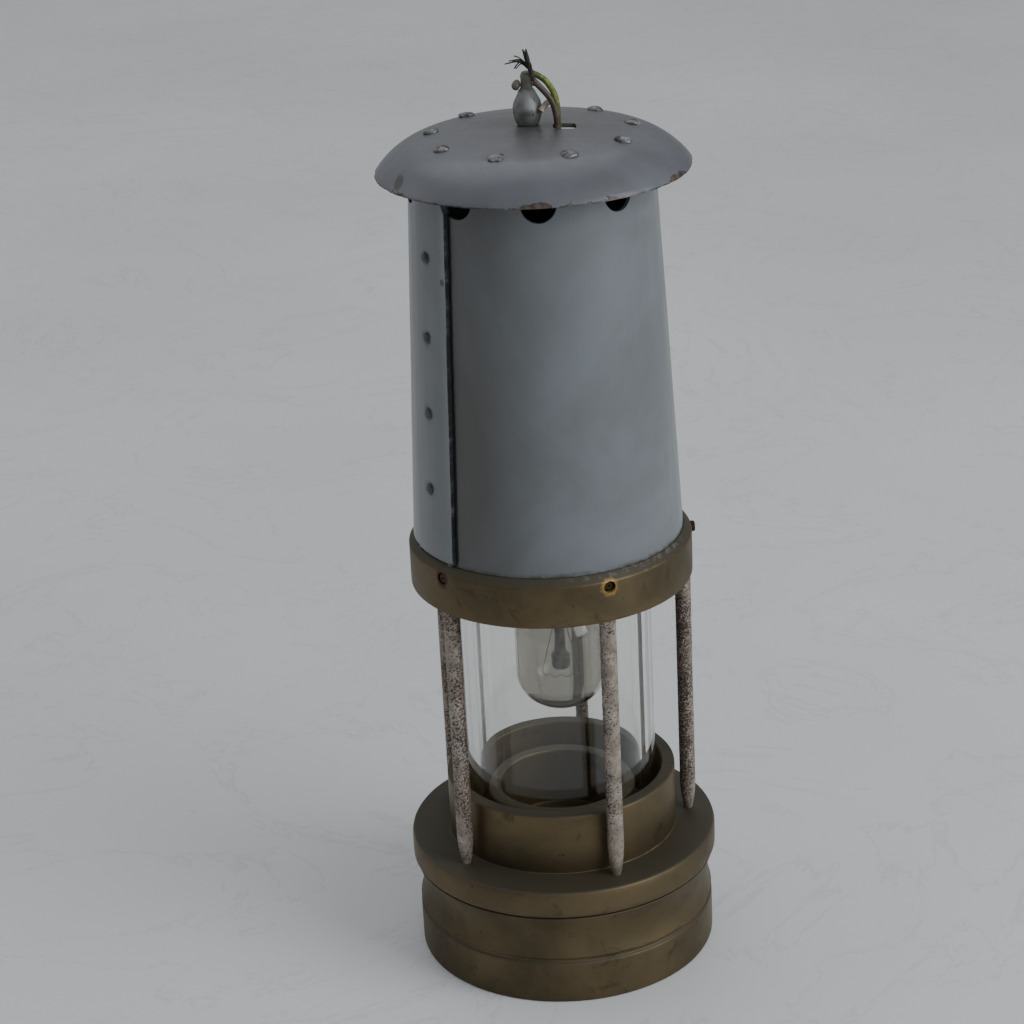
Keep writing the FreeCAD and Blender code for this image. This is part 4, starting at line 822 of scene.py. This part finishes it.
def pillar_mesh(number):
    """One rod: its foot narrows to a rounded tip, and rust has pitted it more on the side towards the lamp; that extra
    rust there is also painted shade on the inner side.
    """
    foot, top = FLANGE_Z - 2.5, UPPER_RING_Z + 2.5
    rows, steps = 330, 44
    place = around(PILLAR_ANGLES[number], PILLAR_CIRCLE_R)
    inward = math.atan2(-place.y, -place.x)
    points, rust = [], []
    for i in range(rows + 1):
        z = foot + (top - foot) * i / rows
        rise = z - FLANGE_Z
        r = PILLAR_R
        if rise < 11:
            share = max(0.0, min(1.0, rise / 11))
            r = 1.25 + (PILLAR_R - 1.25) * math.sin(share * math.pi / 2) ** 0.8
        if z > UPPER_RING_Z + 0.3:
            r = PILLAR_R - 0.7
        for k in range(steps):
            turn = 2 * math.pi * k / steps
            spot = Vector((math.cos(turn) * 2.2, math.sin(turn) * 2.2, z + 40 * number))
            # The cosine term raises the rust towards the lamp's axis: painted shade on each rod's inner side, which
            # also pits that side deeper.
            rust_and_inner_shade = noise.fractal(spot * 0.07, 0.8, 2.0, 3) + 0.55 * math.cos(turn - inward)
            fine = noise.fractal(spot * 2.6, 0.6, 2.1, 3)
            smooth_foot = max(0.0, min(1.0, (rise - 3) / 16))
            level = 0.42 * rust_and_inner_shade + 0.75 * fine - 0.26 * (1 - smooth_foot) + RUST_SHARE[number]
            wear_and_painted_light = max(0.0, min(1.0, (level + 0.10) / 0.34))
            rust.append(wear_and_painted_light)
            blister = 0.05 * noise.noise(spot * 3.5)
            depth = -0.16 * wear_and_painted_light + blister * wear_and_painted_light + 0.03 * fine
            points.append((place.x + (r + depth) * math.cos(turn), place.y + (r + depth) * math.sin(turn), z))
    faces = []
    for i in range(rows):
        for k in range(steps):
            j = (k + 1) % steps
            faces.append([i * steps + k, i * steps + j, (i + 1) * steps + j, (i + 1) * steps + k])
    faces += [list(range(steps))[::-1], list(range(rows * steps, (rows + 1) * steps))]
    return points, faces, rust


def make_pillars():
    rods = [pillar_mesh(k) for k in range(len(PILLAR_ANGLES))]
    points, faces = joined([(p, f) for p, f, _ in rods])
    obj = piece("pillar_rods", points, faces, PILLAR_STEEL, "frame", ["pillars"], 60.0)
    layer = obj.data.attributes.new("rust", "FLOAT", "POINT")
    layer.data.foreach_set("value", [value for _, _, rust in rods for value in rust])


# ---- glass ----
def make_glass():
    inner = GLASS_R - 4.4
    outline = [(inner, GLASS_Z, 0.5), (GLASS_R, GLASS_Z, 0.5), (GLASS_R, GLASS_TOP_Z, 0.5), (inner, GLASS_TOP_Z, 0.5)]
    turned("lamp_glass", outline, CLEAR_GLASS, "frame", "clear_glass", ["glass"], steps=256, longest=3.0)


# ---- upper ring ----
def make_upper_ring():
    wall_top = UPPER_RING_TOP_Z - 2.1
    outline = [
        (30.2, UPPER_RING_Z, 0.3), (UPPER_RING_R, UPPER_RING_Z, 0.6), (UPPER_RING_R, wall_top, 0.5),
        (BONNET_FOOT_R + 0.45, UPPER_RING_TOP_Z, 0.25), (BONNET_FOOT_R + 0.02, UPPER_RING_TOP_Z, 0.1),
        (BONNET_FOOT_R + 0.02, 123.5, 0.2), (LEDGE_R, 123.5, 0.2), (LEDGE_R, 122.0, 0.2), (30.2, 122.0, 0.2),
    ]
    obj = turned("clamp_ring", outline, BRASS_UPPER, "frame", "aged_brass", ["upper_ring"], steps=256,
                 relief=soft_relief(0.06, 12, 11.0))
    holes = []
    for k, angle in enumerate(PILLAR_ANGLES):
        radius = SCREW_HOLE_R if k != PROUD_SCREW else 1.1
        holes.append(rod(around(angle, BONNET_FOOT_R - 1, SCREW_Z), around(angle, UPPER_RING_R + 2, SCREW_Z), radius))
    cut_by(obj, holes)


def make_ring_screws():
    parts = []
    for k, angle in enumerate(PILLAR_ANGLES):
        proud = k == PROUD_SCREW
        head_r = 1.6
        out = UPPER_RING_R + SCREW_STANDS_OUT[k]
        back = UPPER_RING_R + 0.02 if proud else BONNET_FOOT_R + 0.3
        outline = [(0, 0, 0), (head_r, 0, 0.15), (head_r, out - back - 0.35, 0.1), (head_r - 0.35, out - back, 0.2),
                   (0.35, out - back, 0.1), (0.35, out - back - 0.4, 0.05), (0, out - back - 0.4, 0)]
        points, faces = turned_mesh(outline, 32, 0.6, closed=False)
        lean = Matrix.Rotation(math.radians(angle), 3, "Z") @ Matrix.Rotation(math.radians(90), 3, "X")
        points = [lean @ Vector(p) + around(angle, back, SCREW_Z) for p in points]
        parts.append((points, faces))
        shank, shank_faces = rod(around(angle, BONNET_FOOT_R - 1, SCREW_Z), around(angle, back + 0.1, SCREW_Z), 1.0, 20)
        parts.append((shank, shank_faces))
    points, faces = joined(parts)
    piece("clamp_screws", points, faces, DARK_SCREW, "frame", ["ring_screws"])


# ---- bonnet ----
def cap_z(r, inset=0.0):
    """Height of the cap's face at radius r, or of a face this far inside it."""
    if r <= (CAP_CROWN_BALL - inset) * math.sin(CAP_LEAN):
        return CAP_TOP_Z - CAP_CROWN_BALL + math.sqrt((CAP_CROWN_BALL - inset) ** 2 - r ** 2)
    return SHOULDER_ARC_Z + math.sqrt((SHOULDER_BALL - inset) ** 2 - (r - SHOULDER_X) ** 2)


def sheet_radius(angle, z):
    """Outer radius of the rolled sheet, along the wrap: it runs under its own free edge where it starts."""
    taper = (BONNET_FOOT_R - BONNET_TOP_R) / (CAP_RIM_Z - UPPER_RING_TOP_Z)
    base = BONNET_FOOT_R - taper * max(0.0, z - UPPER_RING_TOP_Z)
    free_edge = 360 + LAP_EDGE
    rise = max(0.0, min(1.0, (angle - 190) / 90))
    offset = (BONNET_WALL + 0.04) * rise * rise * (3 - 2 * rise)
    edge_share = max(0.0, 1 - (free_edge - angle) / 5.0)
    lift = 0.55 + 0.45 * noise.noise(Vector((3.3, 0.4, z / 22)))
    offset += LAP_RELIEF * lift * edge_share ** 2
    if z < UPPER_RING_TOP_Z + 0.2:
        offset = min(offset, -0.02)
    spot = around(angle, 1.0)
    wave = noise.noise(Vector((spot.x * 1.7, spot.y * 1.7, z / 38)))
    dent = noise.noise(Vector((spot.x * 5.0 + 4, spot.y * 5.0, z / 14)))
    quiet = max(0.0, min(1.0, (z - UPPER_RING_TOP_Z) / 10))
    overlap = 0.0 if angle > -44 else 0.02
    return base + offset - overlap + quiet * (0.10 * wave + 0.035 * dent)


def sheet_top(angle):
    """Height of the sheet's top edge, which dips into each vent."""
    step = 360.0 / VENT_COUNT
    gap = (angle - VENT_FIRST + step / 2) % step - step / 2
    along = abs(math.radians(gap) * BONNET_TOP_R)
    if along >= VENT_R:
        return 247.2
    return VENT_Z - math.sqrt(VENT_R ** 2 - along ** 2)


def make_bonnet():
    half_vent = math.degrees(VENT_R / BONNET_TOP_R)
    step = 360.0 / VENT_COUNT
    stops = set()
    for k in range(-3, VENT_COUNT + 1):
        middle = VENT_FIRST + step * k
        for j in range(13):
            side = math.sin(math.pi / 2 * j / 12) * half_vent
            stops |= {middle - side, middle + side}
        stops |= {middle - half_vent - 0.12, middle + half_vent + 0.12}
    stops |= {LAP_END + 0.75 * k for k in range(int((360 + LAP_EDGE - LAP_END) / 0.75) + 1)}
    stops |= {360 + LAP_EDGE - 0.12, 360 + LAP_EDGE}
    angles = sorted(round(a, 4) for a in stops if LAP_END <= a <= 360 + LAP_EDGE)
    angles = [a for k, a in enumerate(angles) if k == 0 or a - angles[k - 1] > 0.05]
    rows = 96
    points, faces = [], []
    for angle in angles:
        top = sheet_top(angle)
        for i in range(rows + 1):
            z = BONNET_Z + (top - BONNET_Z) * i / rows
            r = sheet_radius(angle, z)
            points.append(around(angle, r, z))
            points.append(around(angle, r - BONNET_WALL, z))
    line = 2 * (rows + 1)
    for c in range(len(angles) - 1):
        for i in range(rows):
            a = c * line + 2 * i
            b = a + line
            faces.append([a, b, b + 2, a + 2])
            faces.append([a + 1, a + 3, b + 3, b + 1])
        a = c * line
        b = a + line
        faces.append([a, a + 1, b + 1, b])
        faces.append([a + 2 * rows, b + 2 * rows, b + 2 * rows + 1, a + 2 * rows + 1])
    for c, flip in ((0, False), (len(angles) - 1, True)):
        for i in range(rows):
            a = c * line + 2 * i
            face = [a, a + 2, a + 3, a + 1]
            faces.append(face[::-1] if flip else face)
    parts = [(points, faces)]
    for k in range(VENT_COUNT):
        parts.append(tab_mesh(VENT_FIRST + step * (k + 0.5), step / 2 - half_vent - 0.6))
    points, faces = joined(parts)
    piece("bonnet_sheet", points, faces, BONNET_PAINT, "frame", ["bonnet"])


def tab_mesh(middle, half):
    """A tab bent in from the sheet's top under the cap, between two vents."""
    points, faces = [], []
    columns, rows = 10, 8
    for j in range(columns + 1):
        angle = middle - half + 2 * half * j / columns
        for i in range(rows + 1):
            r = 33.4 + (25.0 - 33.4) * i / rows
            z = cap_z(r, CAP_WALL + 0.02)
            points.append(around(angle, r, z))
            points.append(around(angle, r, z - BONNET_WALL))
    line = 2 * (rows + 1)
    for j in range(columns):
        for i in range(rows):
            a = j * line + 2 * i
            b = a + line
            faces.append([a, a + 2, b + 2, b])
            faces.append([a + 1, b + 1, b + 3, a + 3])
        a = j * line
        b = a + line
        faces.append([a, b, b + 1, a + 1])
        faces.append([a + 2 * rows, a + 2 * rows + 1, b + 2 * rows + 1, b + 2 * rows])
    for j, flip in ((0, False), (columns, True)):
        for i in range(rows):
            a = j * line + 2 * i
            face = [a, a + 1, a + 3, a + 2]
            faces.append(face[::-1] if flip else face)
    return points, faces


def make_seam_rivets():
    parts = []
    for k, z in enumerate(SEAM_RIVET_Z):
        face_r = sheet_radius(360 + SEAM_RIVET_ANGLE, z)
        outline = [(0, -2.9, 0), (1.8, -2.9, 0.2), (1.8, -2.05, 0.2), (1.1, -2.05, 0.1), (1.1, -0.1, 0.1),
                   (1.75, -0.1, 0.1), (1.65, 0.25, 0.35), (0.95, 0.62, 0.4), (0, 0.62, 0)]
        points, faces = turned_mesh(outline, 28, 0.5, closed=False, relief=soft_relief(0.22, 1.3, 3.0 + 5 * k))
        lean = Matrix.Rotation(math.radians(SEAM_RIVET_ANGLE), 3, "Z") @ Matrix.Rotation(math.radians(90), 3, "X")
        parts.append(([lean @ Vector(p) + around(SEAM_RIVET_ANGLE, face_r, z) for p in points], faces))
    points, faces = joined(parts)
    piece("seam_rivet_heads", points, faces, SEAM_RIVET_PAINT, "frame", ["seam_rivets"], 50.0)


# ---- cap ----
def make_cap():
    rim_inner_r = SHOULDER_X + math.sqrt((SHOULDER_BALL - CAP_WALL) ** 2 - (CAP_RIM_Z - SHOULDER_ARC_Z) ** 2)
    over = [(r, cap_z(r), 0.0) for r in (*range(0, 28, 4), *range(28, 43))]
    under = [(r, cap_z(r, CAP_WALL), 0.0) for r in (*range(41, 28, -1), *range(26, -1, -4), 0)]
    outline = over + [
        (43.3, cap_z(43.3), 0.2), (CAP_RIM_R, CAP_RIM_Z, 0.3), (rim_inner_r, CAP_RIM_Z, 0.3),
    ] + under
    wavy = soft_relief(0.45, 16, 13.0)
    nicks = soft_relief(0.45, 2.4, 17.0)

    def relief(r, turn, z):
        outer = max(0.0, min(1.0, (r - 36) / 6))
        edge = max(0.0, min(1.0, (CAP_RIM_Z + 1.2 - z) / 1.2))
        return outer * wavy(r, turn, z) * 0.6 + min(0.0, nicks(r, turn, z)) * edge
    obj = turned("cap_dome", outline, CAP_PAINT, "frame", "painted_steel", ["cap"], steps=288, longest=1.1,
                 closed=False, relief=relief)
    low, high = CAP_TOP_Z - 5, CAP_TOP_Z + 2
    slot_line = []
    for corner, (side_x, side_y) in enumerate(((1, 1), (-1, 1), (-1, -1), (1, -1))):
        centre = Vector((SLOT_X + side_x * (SLOT_L / 2 - SLOT_CORNER_R), SLOT_Y + side_y * (SLOT_W / 2 - SLOT_CORNER_R)))
        for k in range(7):
            turn = math.radians(90 * corner + 15 * k)
            rag = 1 + 0.16 * noise.noise(Vector((math.cos(turn) * 3, math.sin(turn) * 3, corner)))
            slot_line.append(centre + Vector((math.cos(turn), math.sin(turn))) * SLOT_CORNER_R * rag)
    count = len(slot_line)
    slot_points = [(x, y, low) for x, y in slot_line] + [(x, y, high) for x, y in slot_line]
    slot_faces = [[k, (k + 1) % count, count + (k + 1) % count, count + k] for k in range(count)]
    slot_faces += [list(range(count))[::-1], list(range(count, 2 * count))]
    hub = rod(Vector((SWIVEL_X, 0, low)), Vector((SWIVEL_X, 0, high)), 2.55, 32)
    cut_by(obj, [(slot_points, slot_faces), hub])


def make_cap_rivets():
    parts = []
    for k in range(CAP_RIVET_COUNT):
        angle = CAP_RIVET_FIRST + 360.0 / CAP_RIVET_COUNT * k
        face_z = cap_z(CAP_RIVET_CIRCLE_R)
        dome = [(2.25 * math.cos(a), 0.18 + 1.0 * math.sin(a), 0.0) for a in (0.25, 0.5, 0.75, 1.0, 1.25, 1.45)]
        outline = [(0, -3.3, 0), (2.1, -3.3, 0.3), (2.1, -2.3, 0.3), (1.1, -2.3, 0.1), (1.1, -0.1, 0.1),
                   (2.2, -0.1, 0.1), (2.28, 0.15, 0.15), *dome, (0, 1.18, 0)]
        points, faces = turned_mesh(outline, 32, 0.5, closed=False, relief=soft_relief(0.55, 1.5, 4.0 * k))
        slope = math.asin(CAP_RIVET_CIRCLE_R / CAP_CROWN_BALL)
        lean = Matrix.Rotation(math.radians(angle), 3, "Z") @ Matrix.Rotation(slope, 3, "X")
        parts.append(([lean @ Vector(p) + around(angle, CAP_RIVET_CIRCLE_R, face_z) for p in points], faces))
    points, faces = joined(parts)
    piece("cap_rivet_heads", points, faces, RIVET_PAINT, "frame", ["cap_rivets"], 50.0)


# ---- swivel ----
def make_swivel():
    foot = low_z("swivel_boss")
    top = high_z("swivel_boss")
    outline = [
        (1.66, foot, 0.1), (2.95, foot, 0.4), (3.35, foot + 0.9, 0.4), (3.85, foot + 2.3, 0.5),
        (4.1, foot + 4.2, 0.6), (3.95, foot + 5.6, 0.6), (3.45, foot + 7.0, 0.6), (2.75, foot + 8.3, 0.5),
        (2.05, top - 0.4, 0.3), (1.7, top, 0.15), (1.66, top, 0.05),
    ]
    turned("boss_body", outline, BOSS_METAL, "swivel", "grey_steel", ["swivel_boss"], steps=72, longest=0.5,
           x=SWIVEL_X, relief=soft_relief(0.16, 2.2, 21.0))
    under = low_z("swivel_stem")
    outline = [
        (0, under, 0), (2.4, under, 0.4), (4.0, under + 0.9, 0.3), (4.0, under + 1.8, 0.2), (2.48, under + 1.8, 0.1),
        (2.48, foot, 0.1), (1.62, foot, 0.05), (1.62, top + 0.4, 0.3), (1.45, top + 1.2, 0.4), (1.62, top + 2.4, 0.5),
        (1.66, STEM_TOP_Z - 1.3, 0.6), (1.2, STEM_TOP_Z - 0.3, 0.5), (0.5, STEM_TOP_Z, 0.3), (0, STEM_TOP_Z, 0),
    ]
    turned("stem_body", outline, STEM_METAL, "swivel", "grey_steel", ["swivel_stem"], steps=48, longest=0.4,
           closed=False, x=SWIVEL_X, relief=soft_relief(0.14, 1.6, 23.0))
    low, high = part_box("swivel_pin")
    middle_z = (low.z + high.z) / 2 / MM
    ball_r = 1.32
    ball = [(ball_r * math.cos(math.radians(a)) if abs(a) < 90 else 0.0, ball_r * math.sin(math.radians(a)), 0.0)
            for a in range(-90, 91, 15)]
    points, faces = turned_mesh(ball, 28, 0.4, closed=False, relief=soft_relief(0.3, 1.2, 31.0))
    points = [Vector((p[0] * 0.9, p[1], p[2] * 1.15)) for p in points]
    lean = Matrix.Rotation(math.radians(14), 3, "Y")
    at = Vector((low.x / MM + ball_r * 0.85, 0, middle_z))
    points = [lean @ p + at for p in points]
    shank = rod(at, Vector((high.x / MM, 0, middle_z)), 0.55, 18)
    points, faces = joined([(points, faces), shank])
    piece("pin_body", points, faces, STEM_METAL, "swivel", ["swivel_pin"], 50.0)


# ---- bulb ----
def make_bulb():
    wall = 0.7
    radius = reach("bulb_glass")

    def side(inset):
        ball, corner = 15.0 - inset, 10.5 - inset
        lean = math.asin((radius - 10.5) / 4.5)
        ball_z = BULB_TIP_Z + 15.0
        corner_x, corner_z = radius - 10.5, ball_z - 4.5 * math.cos(lean)
        crown = [(ball * math.sin(lean * k / 5), ball_z - ball * math.cos(lean * k / 5), 0.0) for k in range(6)]
        turns = [lean + (math.pi / 2 - lean) * k / 14 for k in range(1, 15)]
        bend = [(corner_x + corner * math.sin(a), corner_z - corner * math.cos(a), 0.0) for a in turns]
        flank = [(radius - inset, 103.0, 2.5), (11.0 - inset, 107.8, 2.5), (9.6 - inset, 112.4, 1.5),
                 (9.6 - inset, BULB_TOP_Z, 0.0)]
        return crown + bend + flank
    outer, inner = side(0.0), side(wall)
    turned("bulb_envelope", outer + inner[::-1], BULB_GLASS, "bulb", "bulb_glass", ["bulb_glass"], steps=128,
           longest=1.2, closed=False, x=BULB_X)


def make_bulb_inside():
    """The glass foot that carries the filament, flattened where its wires are sealed in, and the filament."""
    tip = BULB_TIP_Z + 12.2
    outline = [
        (0, tip, 0), (2.5, tip + 0.1, 0.4), (2.75, tip + 1.0, 0.3), (2.75, tip + 4.4, 0.4), (1.8, tip + 5.0, 0.5),
        (1.55, tip + 9, 0.6), (1.7, tip + 22, 1.0), (3.0, tip + 27, 2.0), (8.6, tip + 31.5, 0.5),
        (8.6, tip + 32.4, 0.3), (0, tip + 32.4, 0),
    ]
    turned("bulb_foot", outline, STEM_GLASS, "bulb", "bulb_glass", ["bulb_stem"], steps=48, longest=0.8,
           closed=False, x=BULB_X)
    curve = bpy.data.curves.new("filament", "CURVE")
    curve.dimensions = "3D"
    low = BULB_TIP_Z + 10.4
    leads = [[(BULB_X + side * 1.2, 0, tip + 16), (BULB_X + side * 3.0, 0, tip + 9), (BULB_X + side * 5.6, -0.2, low + 0.8)]
             for side in (-1, 1)]
    coil = [(BULB_X + 5.6 * math.cos(a), -0.2 - 4.4 * math.sin(a), low + 0.9 + 0.5 * math.sin(9 * a))
            for a in [math.pi * k / 36 for k in range(37)]]
    for line in leads + [coil]:
        spline = curve.splines.new("NURBS")
        spline.points.add(len(line) - 1)
        for point, spot in zip(spline.points, line):
            point.co = (*(Vector(spot) * MM), 1.0)
        spline.order_u = 3
        spline.use_endpoint_u = True
    curve.bevel_depth = 0.00011
    curve.bevel_resolution = 2
    curve.use_fill_caps = True
    curve.materials.append(TUNGSTEN)
    obj = bpy.data.objects.new("filament", curve)
    bpy.context.scene.collection.objects.link(obj)
    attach(obj, "bulb")
    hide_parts("bulb_filament")


# ---- what stays as designed, with its finish ----
def finish_nodes():
    finishes = {
        RUBBER: ("vessel_seal", "lower_glass_seal", "upper_glass_seal"),
        BRASS_BASE: ("vessel_base",),
        PLATE_STEEL: ("holder_plate", "swivel_washer", "plunger_springs"),
        HOLDER_BRASS: ("holder_barrel", "holder_ring", "holder_cover", "terminals", "contact_plungers", "bulb_cap"),
        MOULDING: ("holder_block",),
        TINNED: ("bulb_contacts",),
    }
    for material, names in finishes.items():
        for name in names:
            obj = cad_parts[name]
            obj.data.materials.clear()
            obj.data.materials.append(material)


# ---- floor and light ----
def area_light(name, place, aim, size, power, colour):
    data = bpy.data.lights.new(name, "AREA")
    data.shape = "RECTANGLE"
    data.size, data.size_y = size
    data.energy = power
    data.color = colour
    obj = bpy.data.objects.new(name, data)
    obj.location = place
    obj.rotation_mode = "QUATERNION"
    obj.rotation_quaternion = (Vector(aim) - Vector(place)).to_track_quat("-Z", "Y")
    bpy.context.scene.collection.objects.link(obj)


def make_stage():
    half = 8.0
    mesh = bpy.data.meshes.new("floor")
    mesh.from_pydata([(-half, -half, 0), (half, -half, 0), (half, half, 0), (-half, half, 0)], [], [[0, 1, 2, 3]])
    mesh.materials.append(FLOOR)
    floor = bpy.data.objects.new("floor", mesh)
    bpy.context.scene.collection.objects.link(floor)
    world = bpy.data.worlds.new("soft_room")
    world.use_nodes = True
    tree = world.node_tree
    background = tree.nodes["Background"]
    coords = tree.nodes.new("ShaderNodeTexCoord")
    light = None
    for direction, low, high, strength in (
            ((0.62, -0.75, 0.22), -0.30, 0.95, 0.46), ((-0.85, 0.75, 0.15), -0.10, 0.95, 0.24),
            ((0.0, 0.25, 1.0), 0.10, 0.95, 0.24)):
        dot = tree.nodes.new("ShaderNodeVectorMath")
        dot.operation = "DOT_PRODUCT"
        tree.links.new(coords.outputs["Generated"], dot.inputs[0])
        dot.inputs[1].default_value = Vector(direction).normalized()
        share = tree.nodes.new("ShaderNodeMapRange")
        share.interpolation_type = "SMOOTHSTEP"
        for key, value in (("From Min", low), ("From Max", high), ("To Max", strength)):
            share.inputs[key].default_value = value
        tree.links.new(dot.outputs["Value"], share.inputs["Value"])
        if light is None:
            light = share.outputs[0]
            continue
        total = tree.nodes.new("ShaderNodeMath")
        tree.links.new(light, total.inputs[0])
        tree.links.new(share.outputs[0], total.inputs[1])
        light = total.outputs[0]
    lifted = tree.nodes.new("ShaderNodeMath")
    tree.links.new(light, lifted.inputs[0])
    lifted.inputs[1].default_value = 0.07
    tree.links.new(lifted.outputs[0], background.inputs["Strength"])
    background.inputs["Color"].default_value = (0.82, 0.85, 0.88, 1)
    bpy.context.scene.world = world
    area_light("window", (1.10, -0.62, 0.80), (0, 0, 0.10), (0.9, 0.9), 11.5, (0.94, 0.97, 1.0))
    area_light("sky", (-0.2, 1.0, 1.9), (0, 0, 0.1), (1.8, 1.4), 6, (0.94, 0.97, 1.0))
    area_light("room", (-1.7, 0.5, 0.8), (0, 0, 0.12), (1.2, 1.4), 2.5, (1.0, 0.97, 0.93))


make_camera()
make_flex()
make_vessel()
make_burner_seat()
make_lower_ring()
make_pillars()
make_glass()
make_upper_ring()
make_ring_screws()
make_bonnet()
make_seam_rivets()
make_cap()
make_cap_rivets()
make_swivel()
make_bulb()
make_bulb_inside()
finish_nodes()
make_stage()
